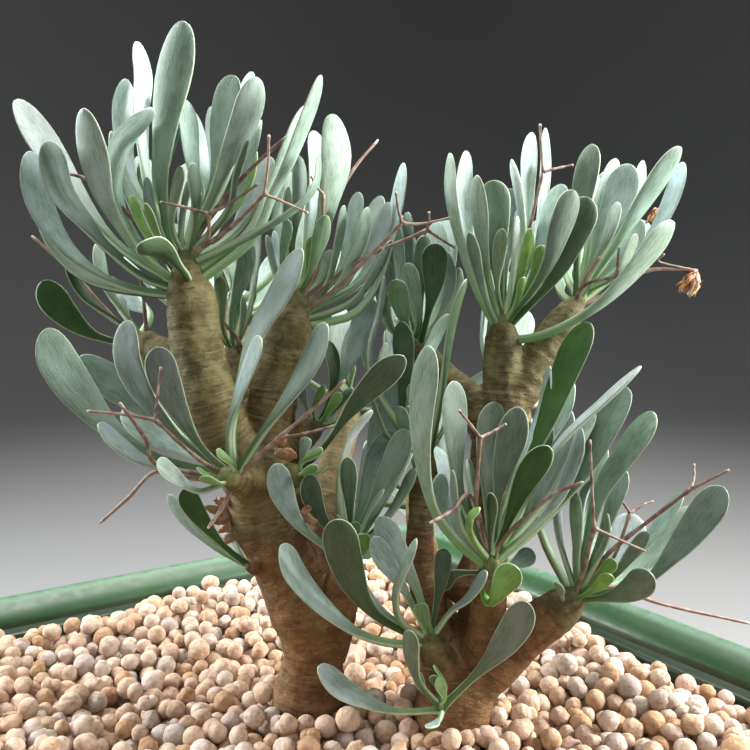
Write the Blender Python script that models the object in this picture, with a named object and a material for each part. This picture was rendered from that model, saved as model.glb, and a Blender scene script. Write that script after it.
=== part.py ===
"""A potted othonna: two thick trunks with leaf rosettes and forked dry stalks, in a square pot of clay balls.

The plant is laid out in millimetres in the viewer's frame: x to the right, y away and z up from the top of the
clay balls, with the origin on the pot's axis. The pot stands square to the part's own axes.
"""

import math
import random

import bmesh
import bpy
import numpy as np
from mathutils import Vector
from mathutils.bvhtree import BVHTree

# Driving dimensions, in millimetres
POT_SIDE = 180.0
POT_HEIGHT = 110.0
RIM_ABOVE_BALLS = 8.0
POT_FLOOR = 3.0
GAP = 0.3
BUD_GAP = 0.4
LEAF_WIDTH = 8.6
LEAF_THICK = 1.9
HUMP_PITCH = 12.0
HUMP_HEIGHT = 1.5
STEM_DEPTH = 14.0
FAR_LENGTH = 46.0
FAR_WIDTHS = (7.2, 8.8)

POT_HALF = POT_SIDE / 2
BALL_LEVEL = POT_HEIGHT - RIM_ABOVE_BALLS
VIEW_TURN = math.radians(-34.3)

# The collections of the parts and of what cuts or joins them
PARTS = "potted_othonna"
CUTTERS = "cutters"

# The viewer: eye in millimetres, focal length and centre in pixels of the 750-pixel photograph
EYE = Vector((11.4, -175.0, 90.0))
FOCAL = 852.0
CENTRE = 375.0
PITCH = math.radians(5.7)

# The pot's wall as (half side, corner radius, height), from the outer foot over the lip to the inner floor
POT_WALL = (
    (POT_HALF - 20.0, 12.0, 0.0),
    (POT_HALF - 9.5, 13.0, POT_HEIGHT - 15.0),
    (POT_HALF - 1.5, 14.0, POT_HEIGHT - 14.0),
    (POT_HALF, 14.0, POT_HEIGHT - 12.0),
    (POT_HALF, 14.0, POT_HEIGHT - 2.6),
    (POT_HALF - 1.2, 13.6, POT_HEIGHT - 0.7),
    (POT_HALF - 3.6, 13.0, POT_HEIGHT),
    (POT_HALF - 6.4, 12.4, POT_HEIGHT - 0.6),
    (POT_HALF - 8.0, 12.0, POT_HEIGHT - 2.2),
    (POT_HALF - 8.4, 12.0, POT_HEIGHT - 4.0),
    (POT_HALF - 10.0, 11.5, POT_HEIGHT - 4.3),
    (POT_HALF - 10.4, 11.5, POT_HEIGHT - 6.0),
    (POT_HALF - 11.5, 11.0, POT_HEIGHT - 10.0),
    (POT_HALF - 22.5, 9.5, POT_FLOOR),
)
# The filling: half side at the top and at the foot, corner radius, and cells of its top along a side
FILL_HALF = POT_HALF - 12.0
FILL_FOOT_HALF = POT_HALF - 23.0
FILL_CORNER = 11.0
FILL_CELLS = 22
SHARP_ANGLE = math.radians(50)
DRAINS = ((34.0, 34.0), (-34.0, 34.0), (-34.0, -34.0), (34.0, -34.0))
DRAIN_RADIUS = 4.0

# Stems: for each, where it runs in the photograph as (x, y, away in mm, radius in mm)
TRUNK_LEFT = (
    (
        (309, 700, 5, 8.0),
        (309, 640, 5, 8.1),
        (304, 600, 5, 8.5),
        (283, 560, 5, 7.3),
        (262, 520, 5, 6.7),
        (258, 484, 5, 6.6),
    ),
    (
        (258, 495, 5, 6.0),
        (236, 452, 5, 5.4),
        (216, 412, 4, 5.3),
        (203, 370, 4, 5.3),
        (194, 330, 4, 5.2),
        (192, 306, 4, 5.0),
    ),
    ((262, 495, 6, 5.8), (268, 450, 8, 5.2), (272, 410, 9, 5.0), (278, 370, 10, 4.9), (287, 338, 10, 4.5)),
    ((322, 650, 5, 6.0), (338, 605, 2, 4.4), (345, 575, -1, 3.6)),
    ((270, 450, 8, 3.8), (292, 444, 9, 3.2), (306, 434, 9, 2.8)),
    ((262, 486, 5, 3.4), (286, 478, 2, 2.6)),
    ((205, 380, 5, 3.6), (176, 360, 11, 3.2), (154, 347, 15, 2.8)),
    ((246, 450, 7, 4.6), (238, 405, 13, 3.8), (234, 366, 18, 3.2)),
    ((262, 492, 4, 4.0), (244, 483, -4, 3.2)),
    ((284, 574, 4, 2.6), (258, 569, -1, 1.8)),
)
TRUNK_RIGHT = (
    ((451, 715, -1, 8.2), (458, 690, -1, 8.0), (470, 662, 0, 7.4)),
    ((462, 685, -1, 7.0), (500, 655, -1, 6.0), (530, 630, -2, 5.0), (560, 610, -2, 4.2)),
    ((476, 672, -1, 5.4), (487, 635, -5, 4.2), (490, 588, -8, 3.5)),
    (
        (474, 672, 1, 5.8),
        (482, 600, 7, 5.2),
        (486, 540, 10, 4.8),
        (492, 470, 11, 5.0),
        (505, 408, 12, 5.6),
        (506, 390, 12, 5.4),
    ),
    ((505, 410, 12, 5.0), (503, 374, 12, 4.5), (503, 350, 12, 4.2)),
    ((507, 404, 12, 5.0), (530, 374, 13, 4.6), (549, 343, 14, 4.2), (565, 320, 14, 3.4)),
    ((494, 445, 11, 4.0), (466, 396, 15, 4.0), (442, 374, 18, 3.4), (428, 359, 18, 3.0)),
    ((455, 690, 0, 5.0), (434, 620, 3, 3.6), (421, 560, 5, 3.2), (420, 510, 7, 3.0), (424, 482, 8, 2.8)),
    ((452, 700, -1, 6.6), (441, 672, -3, 5.0), (434, 650, -6, 3.4)),
)
TRUNK_SPOTS = {"trunk_left": (309, 700, 5), "trunk_right": (451, 715, -1)}

# Stems on the far side, guessed: (x, y, z, radius) in millimetres
FAR_LEFT = (
    ((-6, 6, 44, 5.0), (-16, 20, 62, 4.0), (-22, 33, 78, 3.4)),
    ((-3, 6, 26, 5.0), (0, 20, 42, 4.0), (4, 33, 56, 3.2)),
)
FAR_RIGHT = (
    ((31, 2, 24, 5.0), (40, 18, 40, 4.0), (46, 31, 56, 3.4)),
    ((28, 0, 10, 5.0), (25, 16, 20, 4.0), (22, 30, 32, 3.2)),
)

# Rosettes: bud foot and bud top in the photograph as (x, y, away in mm), and the bud's two radii in mm
BUDS = {
    "crown_left": ((192, 304, 4), (207, 244, 4), 5.0, 2.2),
    "crown_mid": ((288, 336, 10), (302, 282, 10), 4.5, 2.0),
    "low_left": ((242, 482, -5), (212, 464, -9), 3.2, 2.0),
    "mid_low": ((345, 573, -1), (351, 536, -3), 3.6, 1.8),
    "mid_notch": ((308, 432, 9), (318, 416, 9), 2.8, 1.6),
    "mid_twin": ((288, 477, 2), (303, 468, 0), 2.6, 1.5),
    "shoulder": ((152, 346, 15), (134, 338, 18), 2.8, 1.6),
    "cleft": ((234, 364, 18), (235, 340, 18), 3.2, 1.6),
    "trunk_tuft": ((255, 568, -2), (243, 562, -3), 1.8, 1.3),
    "foot": ((444, 716, -10), (439, 703, -11), 2.4, 1.6),
    "low_mid": ((434, 648, -6), (427, 626, -6), 3.4, 1.8),
    "mid_back": ((424, 480, 8), (414, 446, 8), 2.8, 1.6),
    "back": ((427, 357, 18), (422, 330, 18), 3.0, 1.8),
    "front_right": ((490, 586, -8), (492, 546, -8), 3.5, 2.0),
    "low_right": ((562, 608, -2), (582, 586, -2), 4.2, 2.0),
    "crown_right": ((503, 348, 12), (508, 306, 12), 4.2, 2.0),
    "crown_far_right": ((566, 318, 14), (584, 288, 14), 3.4, 1.8),
}
# Rosettes on the far side: bud foot and top in millimetres, and the bud's two radii
FAR_BUDS = {
    "far_left": ((-22, 33, 78), (-24, 38, 90), 3.4, 1.8),
    "far_mid": ((4, 33, 56), (6, 38, 67), 3.2, 1.8),
    "far_right": ((46, 31, 56), (50, 36, 67), 3.4, 1.8),
    "far_low": ((22, 30, 32), (20, 36, 42), 3.2, 1.8),
}

# Leaves in sight: how many mm the tip is nearer than the foot, the width shown in pixels, then the midrib's
# places in the photograph from tip to foot
LEAVES = {
    "crown_left": (
        (6, 36, (184, 21), (176, 60), (168, 100), (163, 140), (162, 185), (170, 240), (188, 285)),
        (14, 30, (84, 108), (92, 150), (103, 195), (123, 230), (145, 258), (188, 290)),
        (10, 29, (47, 141), (60, 190), (85, 222), (110, 250), (145, 278), (184, 292)),
        (4, 30, (30, 151), (40, 205), (66, 248), (100, 275), (140, 290), (184, 296)),
        (-8, 30, (18, 99), (48, 150), (85, 205), (125, 250), (180, 290)),
        (8, 24, (152, 108), (133, 127), (118, 150), (114, 185), (128, 225), (165, 275), (188, 285)),
        (8, 30, (257, 77), (246, 118), (226, 163), (207, 205), (199, 250)),
        (8, 15, (321, 75), (312, 105), (290, 160), (272, 195), (250, 240), (212, 284)),
        (0, 15, (306, 106), (290, 145), (270, 190), (244, 236), (208, 276)),
        (-6, 20, (140, 43), (143, 80), (141, 120), (152, 200), (182, 268)),
        (-12, 24, (128, 80), (122, 120), (132, 180), (178, 268)),
        (-4, 27, (232, 75), (222, 125), (212, 185), (204, 250)),
        (-14, 20, (250, 72), (240, 120), (222, 185), (208, 250)),
        (26, 24, (140, 243), (164, 252), (186, 274), (196, 290)),
        (4, 7, (319, 152), (315, 185), (298, 206), (270, 224), (232, 243), (212, 262)),
        (-10, 20, (186, 100), (190, 150), (196, 200), (204, 252)),
        (-4, 18, (192, 110), (200, 155), (206, 200), (206, 248)),
        (-8, 13, (209, 108), (212, 170), (208, 244)),
        (10, 14, (192, 163), (196, 205), (200, 258)),
        (8, 8, (190, 178), (183, 212), (182, 246), (194, 276)),
        (-6, 10, (261, 120), (250, 158), (230, 208), (212, 254)),
        (2, 8, (247, 140), (236, 175), (226, 212), (210, 254)),
        (-10, 13, (254, 150), (240, 200), (214, 252)),
        (4, 12, (147, 177), (152, 212), (172, 255), (192, 280)),
        (8, 10, (146, 203), (160, 240), (190, 280)),
        (2, 11, (131, 196), (146, 232), (186, 282)),
        (0, 10, (145, 150), (141, 185), (152, 230), (188, 278)),
        (-12, 15, (38, 208), (58, 252), (100, 284), (184, 300)),
        (-14, 14, (113, 132), (120, 172), (148, 235), (184, 278)),
    ),
    "crown_mid": (
        (4, 30, (332, 114), (337, 160), (328, 205), (313, 265), (298, 316)),
        (-4, 14, (403, 163), (398, 200), (389, 242), (376, 285), (348, 316), (300, 326)),
        (-4, 17, (358, 192), (351, 235), (335, 278), (302, 316)),
        (-6, 18, (388, 202), (378, 240), (358, 282), (300, 322)),
        (-6, 20, (315, 131), (317, 172), (310, 230), (300, 296)),
        (-10, 14, (368, 207), (358, 250), (330, 295), (298, 322)),
        (-16, 20, (379, 196), (368, 232), (340, 290), (298, 322)),
        (-8, 16, (300, 156), (298, 200), (292, 250), (296, 300)),
        (0, 10, (344, 205), (339, 240), (324, 288), (300, 316)),
        (6, 12, (312, 236), (309, 262), (300, 298)),
        (-4, 10, (288, 186), (287, 230), (294, 296)),
        (2, 10, (391, 240), (374, 275), (348, 304), (298, 324)),
        (0, 8, (267, 235), (274, 268), (290, 316)),
        (-6, 9, (275, 231), (277, 260), (292, 306)),
        (-3, 9, (283, 229), (284, 260), (296, 296)),
    ),
    "low_left": (
        (4, 42, (47, 328), (58, 362), (86, 402), (115, 432), (158, 458), (220, 470)),
        (-2, 28, (128, 320), (128, 358), (143, 393), (165, 420), (190, 446), (220, 466)),
        (4, 33, (157, 347), (164, 378), (180, 412), (200, 446), (220, 464)),
        (8, 25, (302, 249), (280, 293), (256, 333), (241, 380), (231, 430), (222, 468)),
        (12, 16, (261, 338), (250, 365), (237, 400), (228, 436), (220, 466)),
        (12, 23, (327, 324), (311, 362), (286, 400), (260, 436), (222, 470)),
        (8, 18, (98, 424), (116, 442), (142, 460), (176, 470), (222, 472)),
        (14, 18, (157, 462), (176, 477), (198, 491), (216, 486), (228, 474)),
    ),
    "mid_low": (
        (6, 26, (275, 464), (283, 495), (300, 525), (325, 546), (346, 562)),
        (0, 22, (309, 474), (313, 500), (328, 528), (348, 556)),
        (2, 18, (347, 457), (349, 490), (350, 545)),
        (4, 10, (371, 410), (354, 432), (344, 458), (340, 492), (348, 550)),
        (-6, 25, (406, 429), (394, 462), (374, 500), (350, 548)),
        (-12, 24, (391, 431), (376, 462), (363, 502), (350, 548)),
        (-14, 13, (367, 443), (366, 468), (359, 502), (350, 545)),
        (-2, 7, (384, 489), (370, 511), (352, 544)),
        (-4, 12, (415, 468), (404, 492), (386, 518), (352, 552)),
        (10, 18, (360, 534), (363, 549), (352, 566)),
    ),
    "mid_notch": (
        (-2, 14, (328, 341), (334, 368), (330, 396), (314, 424)),
        (-8, 26, (372, 298), (361, 332), (344, 372), (314, 424)),
        (-4, 10, (300, 380), (304, 400), (311, 426)),
        (2, 9, (352, 388), (338, 402), (312, 426)),
    ),
    "mid_twin": (
        (8, 28, (404, 356), (384, 374), (352, 408), (325, 445), (298, 472)),
        (0, 12, (307, 437), (303, 454), (298, 471)),
    ),
    "shoulder": (
        (4, 31, (42, 281), (60, 308), (88, 332), (118, 342), (142, 342)),
        (-8, 14, (98, 243), (106, 285), (140, 340)),
        (-6, 12, (118, 295), (127, 318), (144, 343)),
        (4, 11, (66, 262), (88, 300), (142, 341)),
    ),
    "cleft": (
        (-2, 20, (249, 240), (244, 272), (231, 312), (235, 348)),
        (-6, 10, (257, 215), (256, 260), (248, 312), (235, 344)),
        (2, 7, (243, 296), (243, 318), (235, 350)),
    ),
    "trunk_tuft": (
        (2, 22, (183, 489), (198, 515), (224, 546), (250, 566)),
        (-4, 14, (168, 495), (188, 522), (216, 548), (250, 567)),
        (-6, 12, (222, 524), (236, 546), (246, 562)),
    ),
    "foot": (
        (6, 33, (527, 602), (515, 628), (492, 658), (464, 686), (441, 708)),
        (8, 18, (412, 631), (411, 656), (419, 682), (440, 707)),
        (6, 24, (318, 667), (338, 685), (360, 698), (396, 711), (440, 710)),
        (14, 10, (429, 728), (439, 719), (442, 710)),
    ),
    "low_mid": (
        (6, 25, (281, 545), (296, 575), (321, 604), (357, 632), (394, 643), (431, 638)),
        (10, 38, (338, 519), (343, 553), (359, 594), (386, 622), (430, 640)),
        (-2, 25, (378, 517), (390, 537), (405, 566), (418, 592), (428, 630)),
        (4, 22, (372, 538), (385, 560), (402, 586), (416, 612), (429, 632)),
        (14, 11, (417, 541), (403, 570), (396, 596), (403, 622), (430, 640)),
        (-2, 18, (444, 548), (441, 580), (436, 606), (428, 632)),
        (-4, 12, (487, 572), (468, 598), (450, 612), (429, 634)),
    ),
    "mid_back": (
        (-2, 22, (401, 321), (404, 345), (405, 380), (404, 412), (418, 460)),
        (8, 10, (466, 279), (456, 308), (447, 350), (439, 398), (418, 462)),
        (0, 14, (449, 314), (436, 338), (426, 370), (417, 455)),
        (-4, 9, (385, 275), (380, 310), (370, 345), (372, 376), (386, 404), (418, 458)),
        (-8, 9, (364, 335), (367, 362), (386, 392), (416, 455)),
        (-6, 20, (410, 408), (412, 425), (418, 460)),
    ),
    "back": (
        (6, 27, (435, 243), (433, 288), (424, 345)),
        (0, 18, (425, 235), (420, 280), (423, 345)),
        (-2, 14, (408, 212), (408, 250), (414, 300), (424, 345)),
        (-4, 14, (397, 222), (400, 262), (410, 312), (424, 348)),
        (-4, 14, (447, 252), (449, 292), (426, 348)),
        (-10, 12, (458, 268), (455, 302), (426, 350)),
        (2, 8, (390, 238), (392, 272), (402, 314), (424, 350)),
    ),
    "front_right": (
        (6, 28, (430, 346), (421, 400), (421, 452), (433, 506), (456, 540), (490, 566)),
        (2, 26, (453, 381), (455, 430), (458, 482), (470, 520), (490, 562)),
        (0, 31, (519, 407), (511, 440), (500, 484), (491, 556)),
        (8, 28, (549, 446), (527, 478), (509, 518), (492, 562)),
        (-4, 34, (627, 387), (602, 428), (577, 478), (542, 522), (494, 560)),
        (-6, 27, (496, 402), (488, 440), (487, 500), (491, 552)),
        (-8, 30, (588, 322), (575, 350), (560, 386), (544, 428), (518, 486), (492, 552)),
        (-4, 10, (641, 366), (602, 402), (560, 442), (520, 504), (492, 556)),
        (-10, 16, (574, 384), (564, 412), (545, 442), (514, 500), (492, 554)),
        (-2, 20, (551, 427), (536, 460), (515, 505), (492, 556)),
        (-8, 17, (594, 412), (572, 450), (545, 500), (494, 558)),
        (0, 16, (580, 427), (574, 462), (550, 510), (494, 560)),
        (22, 27, (511, 566), (500, 580), (490, 576)),
        (-4, 20, (534, 552), (516, 563), (491, 570)),
        (-2, 18, (441, 473), (440, 506), (455, 540), (489, 566)),
        (4, 8, (453, 470), (455, 500), (464, 532), (489, 560)),
        (6, 8, (462, 507), (466, 530), (489, 564)),
        (12, 9, (478, 518), (470, 516), (471, 532), (489, 558)),
        (6, 12, (492, 493), (492, 522), (492, 558)),
        (-2, 10, (468, 459), (474, 500), (490, 556)),
        (-6, 16, (440, 588), (456, 574), (490, 570)),
        (-14, 12, (549, 366), (544, 405), (518, 470), (492, 550)),
    ),
    "low_right": (
        (4, 27, (654, 412), (626, 450), (602, 488), (590, 535), (576, 594)),
        (4, 36, (724, 487), (700, 520), (672, 555), (640, 584), (574, 596)),
        (14, 32, (652, 574), (630, 590), (604, 598), (572, 598)),
        (0, 20, (624, 468), (613, 502), (600, 542), (576, 594)),
        (2, 15, (647, 531), (630, 556), (608, 580), (574, 598)),
        (-8, 34, (634, 514), (622, 545), (600, 575), (574, 596)),
        (-4, 16, (682, 493), (656, 530), (622, 566), (574, 596)),
        (4, 14, (576, 492), (576, 530), (576, 592)),
        (-4, 13, (606, 446), (597, 482), (588, 535), (577, 592)),
        (-6, 11, (590, 480), (580, 510), (577, 592)),
        (6, 7, (608, 514), (605, 545), (578, 596)),
        (8, 15, (615, 560), (600, 576), (574, 597)),
        (12, 15, (610, 574), (597, 588), (572, 600)),
        (4, 10, (558, 585), (562, 598), (570, 602)),
        (-6, 10, (556, 500), (560, 540), (576, 594)),
    ),
    "crown_right": (
        (4, 33, (494, 180), (495, 238), (499, 288), (504, 338)),
        (4, 33, (588, 197), (571, 240), (550, 282), (506, 332)),
        (6, 22, (674, 222), (642, 262), (608, 297), (572, 321), (536, 336), (504, 340)),
        (-2, 25, (574, 190), (560, 230), (545, 270), (507, 328)),
        (0, 13, (450, 153), (451, 200), (463, 250), (480, 295), (505, 336)),
        (-4, 18, (467, 151), (463, 200), (472, 252), (505, 332)),
        (-2, 18, (477, 175), (480, 222), (489, 278), (506, 330)),
        (4, 13, (470, 232), (476, 264), (489, 305), (505, 336)),
        (-8, 17, (530, 133), (529, 180), (524, 240), (508, 318)),
        (-8, 12, (545, 128), (545, 180), (535, 240), (508, 318)),
        (-10, 26, (561, 184), (549, 230), (530, 285), (508, 320)),
        (-6, 10, (511, 160), (520, 198), (522, 250), (508, 316)),
        (4, 13, (530, 228), (525, 258), (508, 322)),
        (4, 17, (542, 245), (535, 278), (507, 326)),
        (2, 8, (511, 215), (506, 260), (506, 328)),
        (-2, 8, (517, 216), (514, 262), (507, 326)),
        (-6, 14, (520, 208), (520, 250), (508, 318)),
        (8, 9, (523, 277), (518, 298), (507, 326)),
    ),
    "crown_far_right": (
        (-4, 33, (630, 164), (614, 208), (597, 250), (574, 304)),
        (4, 21, (681, 147), (652, 190), (622, 234), (594, 274), (572, 306)),
        (-4, 25, (592, 144), (583, 190), (578, 240), (574, 300)),
        (-6, 18, (682, 162), (670, 202), (650, 238), (614, 274), (572, 306)),
        (-10, 19, (618, 160), (602, 200), (590, 244), (574, 300)),
        (-8, 15, (644, 161), (634, 196), (612, 245), (574, 302)),
        (2, 14, (617, 202), (606, 240), (575, 300)),
        (-8, 20, (640, 219), (628, 248), (574, 306)),
        (-14, 16, (599, 178), (592, 220), (577, 292)),
    ),
}

# Leaves out of sight, by the golden angle: how many for each rosette
FAR_LEAVES = {
    "crown_left": 5,
    "crown_mid": 5,
    "low_left": 3,
    "mid_low": 2,
    "shoulder": 3,
    "cleft": 3,
    "low_mid": 2,
    "back": 5,
    "front_right": 3,
    "low_right": 4,
    "crown_right": 5,
    "crown_far_right": 4,
    "far_left": 7,
    "far_mid": 6,
    "far_right": 7,
    "far_low": 6,
}

# Dry stalks: the rosette that holds each, how many mm nearer its end is, its places from root to end, its arms
STALKS = (
    (
        "crown_left",
        6,
        ((203, 262), (207, 240), (209, 214)),
        ((184, 207), (160, 202)),
        ((230, 203), (258, 184)),
    ),
    (
        "crown_left",
        8,
        ((205, 256), (230, 228), (264, 194)),
        ((268, 165), (269, 135)),
        ((286, 203), (308, 213)),
    ),
    (
        "crown_left",
        -6,
        ((205, 254), (212, 215), (245, 175), (286, 137)),
    ),
    (
        "crown_left",
        0,
        ((196, 290), (120, 205), (84, 178), (46, 172)),
    ),
    (
        "shoulder",
        4,
        ((144, 343), (118, 322), (72, 272), (32, 236)),
    ),
    (
        "shoulder",
        0,
        ((144, 342), (146, 325), (140, 270)),
    ),
    (
        "crown_mid",
        6,
        ((298, 318), (312, 278), (322, 240), (323, 194)),
        ((316, 186), (311, 176)),
    ),
    (
        "crown_mid",
        -8,
        ((296, 322), (325, 230), (350, 175), (378, 140)),
    ),
    (
        "crown_mid",
        8,
        ((298, 322), (340, 285), (402, 223)),
        ((398, 208), (396, 192)),
        ((420, 224), (450, 218)),
    ),
    (
        "crown_mid",
        4,
        ((300, 320), (350, 266), (427, 230)),
        ((429, 222), (429, 212)),
        ((442, 240), (455, 248)),
    ),
    (
        "low_left",
        4,
        ((230, 474), (200, 460), (155, 420)),
        ((128, 415), (87, 411)),
        ((158, 392), (161, 367)),
    ),
    (
        "low_left",
        6,
        ((232, 478), (188, 478), (155, 472), (128, 498), (100, 523)),
    ),
    (
        "low_left",
        10,
        ((232, 476), (160, 466), (145, 438), (120, 403)),
    ),
    (
        "low_left",
        8,
        ((236, 476), (256, 458), (278, 438)),
        ((312, 410), (345, 380)),
        ((302, 434), (334, 426)),
    ),
    (
        "low_left",
        10,
        ((238, 478), (222, 508), (208, 528)),
    ),
    (
        "crown_right",
        0,
        ((508, 318), (522, 262), (532, 218), (543, 172)),
        ((541, 148), (540, 124)),
        ((558, 168), (573, 165)),
    ),
    (
        "crown_far_right",
        6,
        ((574, 302), (562, 290), (571, 270), (598, 256)),
    ),
    (
        "crown_far_right",
        6,
        ((573, 306), (585, 285), (617, 276)),
        ((618, 260), (619, 247)),
        ((628, 274), (636, 277)),
    ),
    (
        "crown_far_right",
        -4,
        ((574, 308), (612, 290), (650, 270), (697, 271)),
        ((660, 262), (664, 254)),
    ),
    (
        "crown_far_right",
        -6,
        ((575, 302), (606, 262), (628, 228), (648, 222)),
    ),
    (
        "front_right",
        8,
        ((490, 562), (478, 520), (477, 490), (480, 438)),
        ((470, 424), (459, 410)),
        ((492, 432), (506, 424)),
    ),
    (
        "front_right",
        12,
        ((488, 560), (472, 496), (450, 512), (430, 523)),
    ),
    (
        "front_right",
        10,
        ((492, 562), (506, 536), (550, 497), (583, 482)),
    ),
    (
        "low_right",
        8,
        ((574, 598), (584, 568), (594, 528)),
        ((592, 488), (590, 440)),
        ((620, 540), (645, 551)),
    ),
    (
        "low_right",
        -4,
        ((576, 594), (612, 560), (630, 513)),
        ((624, 504), (619, 498)),
        ((642, 505), (653, 501)),
    ),
    (
        "low_right",
        6,
        ((574, 597), (606, 556), (680, 492), (729, 470)),
        ((692, 474), (694, 464)),
    ),
    (
        "low_right",
        -4,
        ((570, 602), (608, 586), (662, 604), (752, 624)),
    ),
    (
        "cleft",
        4,
        ((234, 352), (240, 344), (218, 315)),
    ),
    (
        "cleft",
        6,
        ((235, 352), (262, 366), (276, 342), (256, 338)),
    ),
)
STALK_RADIUS = 0.75
ARM_SHARE = 0.8
# Dry flower heads: from a stalk's end in the photograph to the head's far end, with the head's widest radius
HEADS = {
    (697, 271): ((684, 294), 2.4),
    (648, 222): ((660, 212), 1.6),
}


def seen(x, y, away):
    """The point on the sight line through a pixel of the photograph that lies this far away, in millimetres."""
    across = (x - CENTRE) / FOCAL
    down = (y - CENTRE) / FOCAL
    ahead = math.cos(PITCH) - down * math.sin(PITCH)
    below = math.sin(PITCH) + down * math.cos(PITCH)
    reach = (away - EYE.y) / ahead
    return EYE + reach * Vector((across, ahead, -below))


def pixel_size(away):
    return (away - EYE.y) / FOCAL


def placed(point):
    """A point of the viewer's frame in the part's own frame, in metres."""
    x = point.x * math.cos(VIEW_TURN) - point.y * math.sin(VIEW_TURN)
    y = point.x * math.sin(VIEW_TURN) + point.y * math.cos(VIEW_TURN)
    return Vector((x, y, point.z + BALL_LEVEL)) / 1000


def cleared():
    for old in list(bpy.data.objects):
        bpy.data.objects.remove(old, do_unlink=True)
    for old in list(bpy.data.collections):
        bpy.data.collections.remove(old)


def shelf(name):
    """The scene's collection of this name, made at its first use."""
    found = bpy.data.collections.get(name)
    if found is None:
        found = bpy.data.collections.new(name)
        bpy.context.scene.collection.children.link(found)
    return found


def material(name, colour, rough):
    made = bpy.data.materials.new(name)
    made.use_nodes = True
    shader = made.node_tree.nodes["Principled BSDF"]
    shader.inputs["Base Color"].default_value = (*colour, 1)
    shader.inputs["Roughness"].default_value = rough
    made.diffuse_color = (*colour, 1)
    return made


def solid(name, shape, paint=None):
    """An object of (points in metres, faces), triangulated."""
    points, faces = shape
    mesh = bpy.data.meshes.new(name)
    mesh.from_pydata([tuple(p) for p in points], [], faces)
    shaped = bmesh.new()
    shaped.from_mesh(mesh)
    bmesh.ops.triangulate(shaped, faces=shaped.faces)
    bmesh.ops.recalc_face_normals(shaped, faces=shaped.faces)
    shaped.to_mesh(mesh)
    shaped.free()
    made = bpy.data.objects.new(name, mesh)
    shelf(PARTS).objects.link(made)
    if paint:
        mesh.materials.append(paint)
    return made


def shaded(body):
    """The body shaded smooth but for its sharp edges."""
    body.data.shade_smooth()
    body.data.set_sharp_from_angle(angle=SHARP_ANGLE)
    return body


def boolean(target, others, operation, solver="EXACT"):
    """The Boolean of the target with all the others, applied, and the others removed."""
    group = shelf(CUTTERS)
    for other in others:
        if other.name not in group.objects:
            shelf(PARTS).objects.unlink(other)
            group.objects.link(other)
        other.display_type = "WIRE"
        other.hide_render = True
    modifier = target.modifiers.new(operation.lower(), "BOOLEAN")
    modifier.operation = operation
    modifier.operand_type = "COLLECTION"
    modifier.collection = group
    modifier.solver = solver
    graph = bpy.context.evaluated_depsgraph_get()
    shaped = bpy.data.meshes.new_from_object(target.evaluated_get(graph))
    target.modifiers.remove(modifier)
    paints = list(target.data.materials)
    target.data = shaped
    target.data.materials.clear()
    for paint in paints:
        target.data.materials.append(paint)
    for other in others:
        bpy.data.objects.remove(other, do_unlink=True)
    return target


def rounded_square(half, radius, height, steps=4):
    """The corners of a rounded square at one height, anticlockwise, in millimetres."""
    points = []
    for quarter in range(4):
        start = quarter * math.pi / 2
        middle = start + math.pi / 4
        reach = (half - radius) * math.sqrt(2)
        for step in range(steps + 1):
            turn = start + step * math.pi / 2 / steps
            x = reach * math.cos(middle) + radius * math.cos(turn)
            y = reach * math.sin(middle) + radius * math.sin(turn)
            points.append(Vector((x, y, height)))
    return points


def lofted(rings):
    """A closed solid through rings of equal count, in millimetres, as (points in metres, faces)."""
    count = len(rings[0])
    points = [p / 1000 for ring in rings for p in ring]
    faces = [tuple(range(count))[::-1]]
    for level in range(len(rings) - 1):
        for i in range(count):
            j = (i + 1) % count
            low, high = level * count, (level + 1) * count
            faces.append((low + i, low + j, high + j, high + i))
    last = (len(rings) - 1) * count
    faces.append(tuple(range(last, last + count)))
    return points, faces


def cylinder(name, x, y, low, high, radius, sides=12):
    """A vertical cutter, in millimetres."""
    mesh = bpy.data.meshes.new(name)
    shaped = bmesh.new()
    size = {"radius1": radius / 1000, "radius2": radius / 1000, "depth": (high - low) / 1000}
    bmesh.ops.create_cone(shaped, cap_ends=True, segments=sides, **size)
    bmesh.ops.translate(shaped, verts=shaped.verts, vec=Vector((x, y, (low + high) / 2)) / 1000)
    shaped.to_mesh(mesh)
    shaped.free()
    made = bpy.data.objects.new(name, mesh)
    shelf(CUTTERS).objects.link(made)
    return made


def pot(paint):
    """The pot: one lofted wall from its foot over the lip to its floor, with drain holes."""
    body = solid("pot", lofted([rounded_square(*level) for level in POT_WALL]), paint)
    high = POT_FLOOR + 2
    drills = [cylinder(f"drain_{i}", x, y, -2, high, DRAIN_RADIUS, 8) for i, (x, y) in enumerate(DRAINS)]
    return shaded(boolean(body, drills, "DIFFERENCE"))


def hump(x, y):
    """The height of a clay ball's top over the level, for balls drawn larger than life on a hexagonal pitch."""
    row_pitch = HUMP_PITCH * math.sqrt(3) / 2
    row = round(y / row_pitch)
    best = HUMP_PITCH
    for near in (row - 1, row, row + 1):
        offset = HUMP_PITCH / 2 * (near % 2)
        column = round((x - offset) / HUMP_PITCH)
        best = min(best, math.hypot(x - column * HUMP_PITCH - offset, y - near * row_pitch))
    return HUMP_HEIGHT * (math.cos(math.pi * min(best / HUMP_PITCH, 0.6)) - 0.5)


def to_rounded(u, v, half, radius):
    """A point of the unit square moved into the rounded square, so that the border follows its corners."""
    far = max(abs(u), abs(v))
    if far == 0:
        return 0.0, 0.0
    side = min(abs(u), abs(v)) / far
    inner = 1 - radius / half
    share = 1.0
    if side > inner:
        a = 1 + side * side
        b = -2 * inner * (1 + side)
        c = 2 * inner * inner - (radius / half) ** 2
        share = (-b + math.sqrt(b * b - 4 * a * c)) / (2 * a)
    scale = half * (1 + (share - 1) * far**6)
    return u * scale, v * scale


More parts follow.
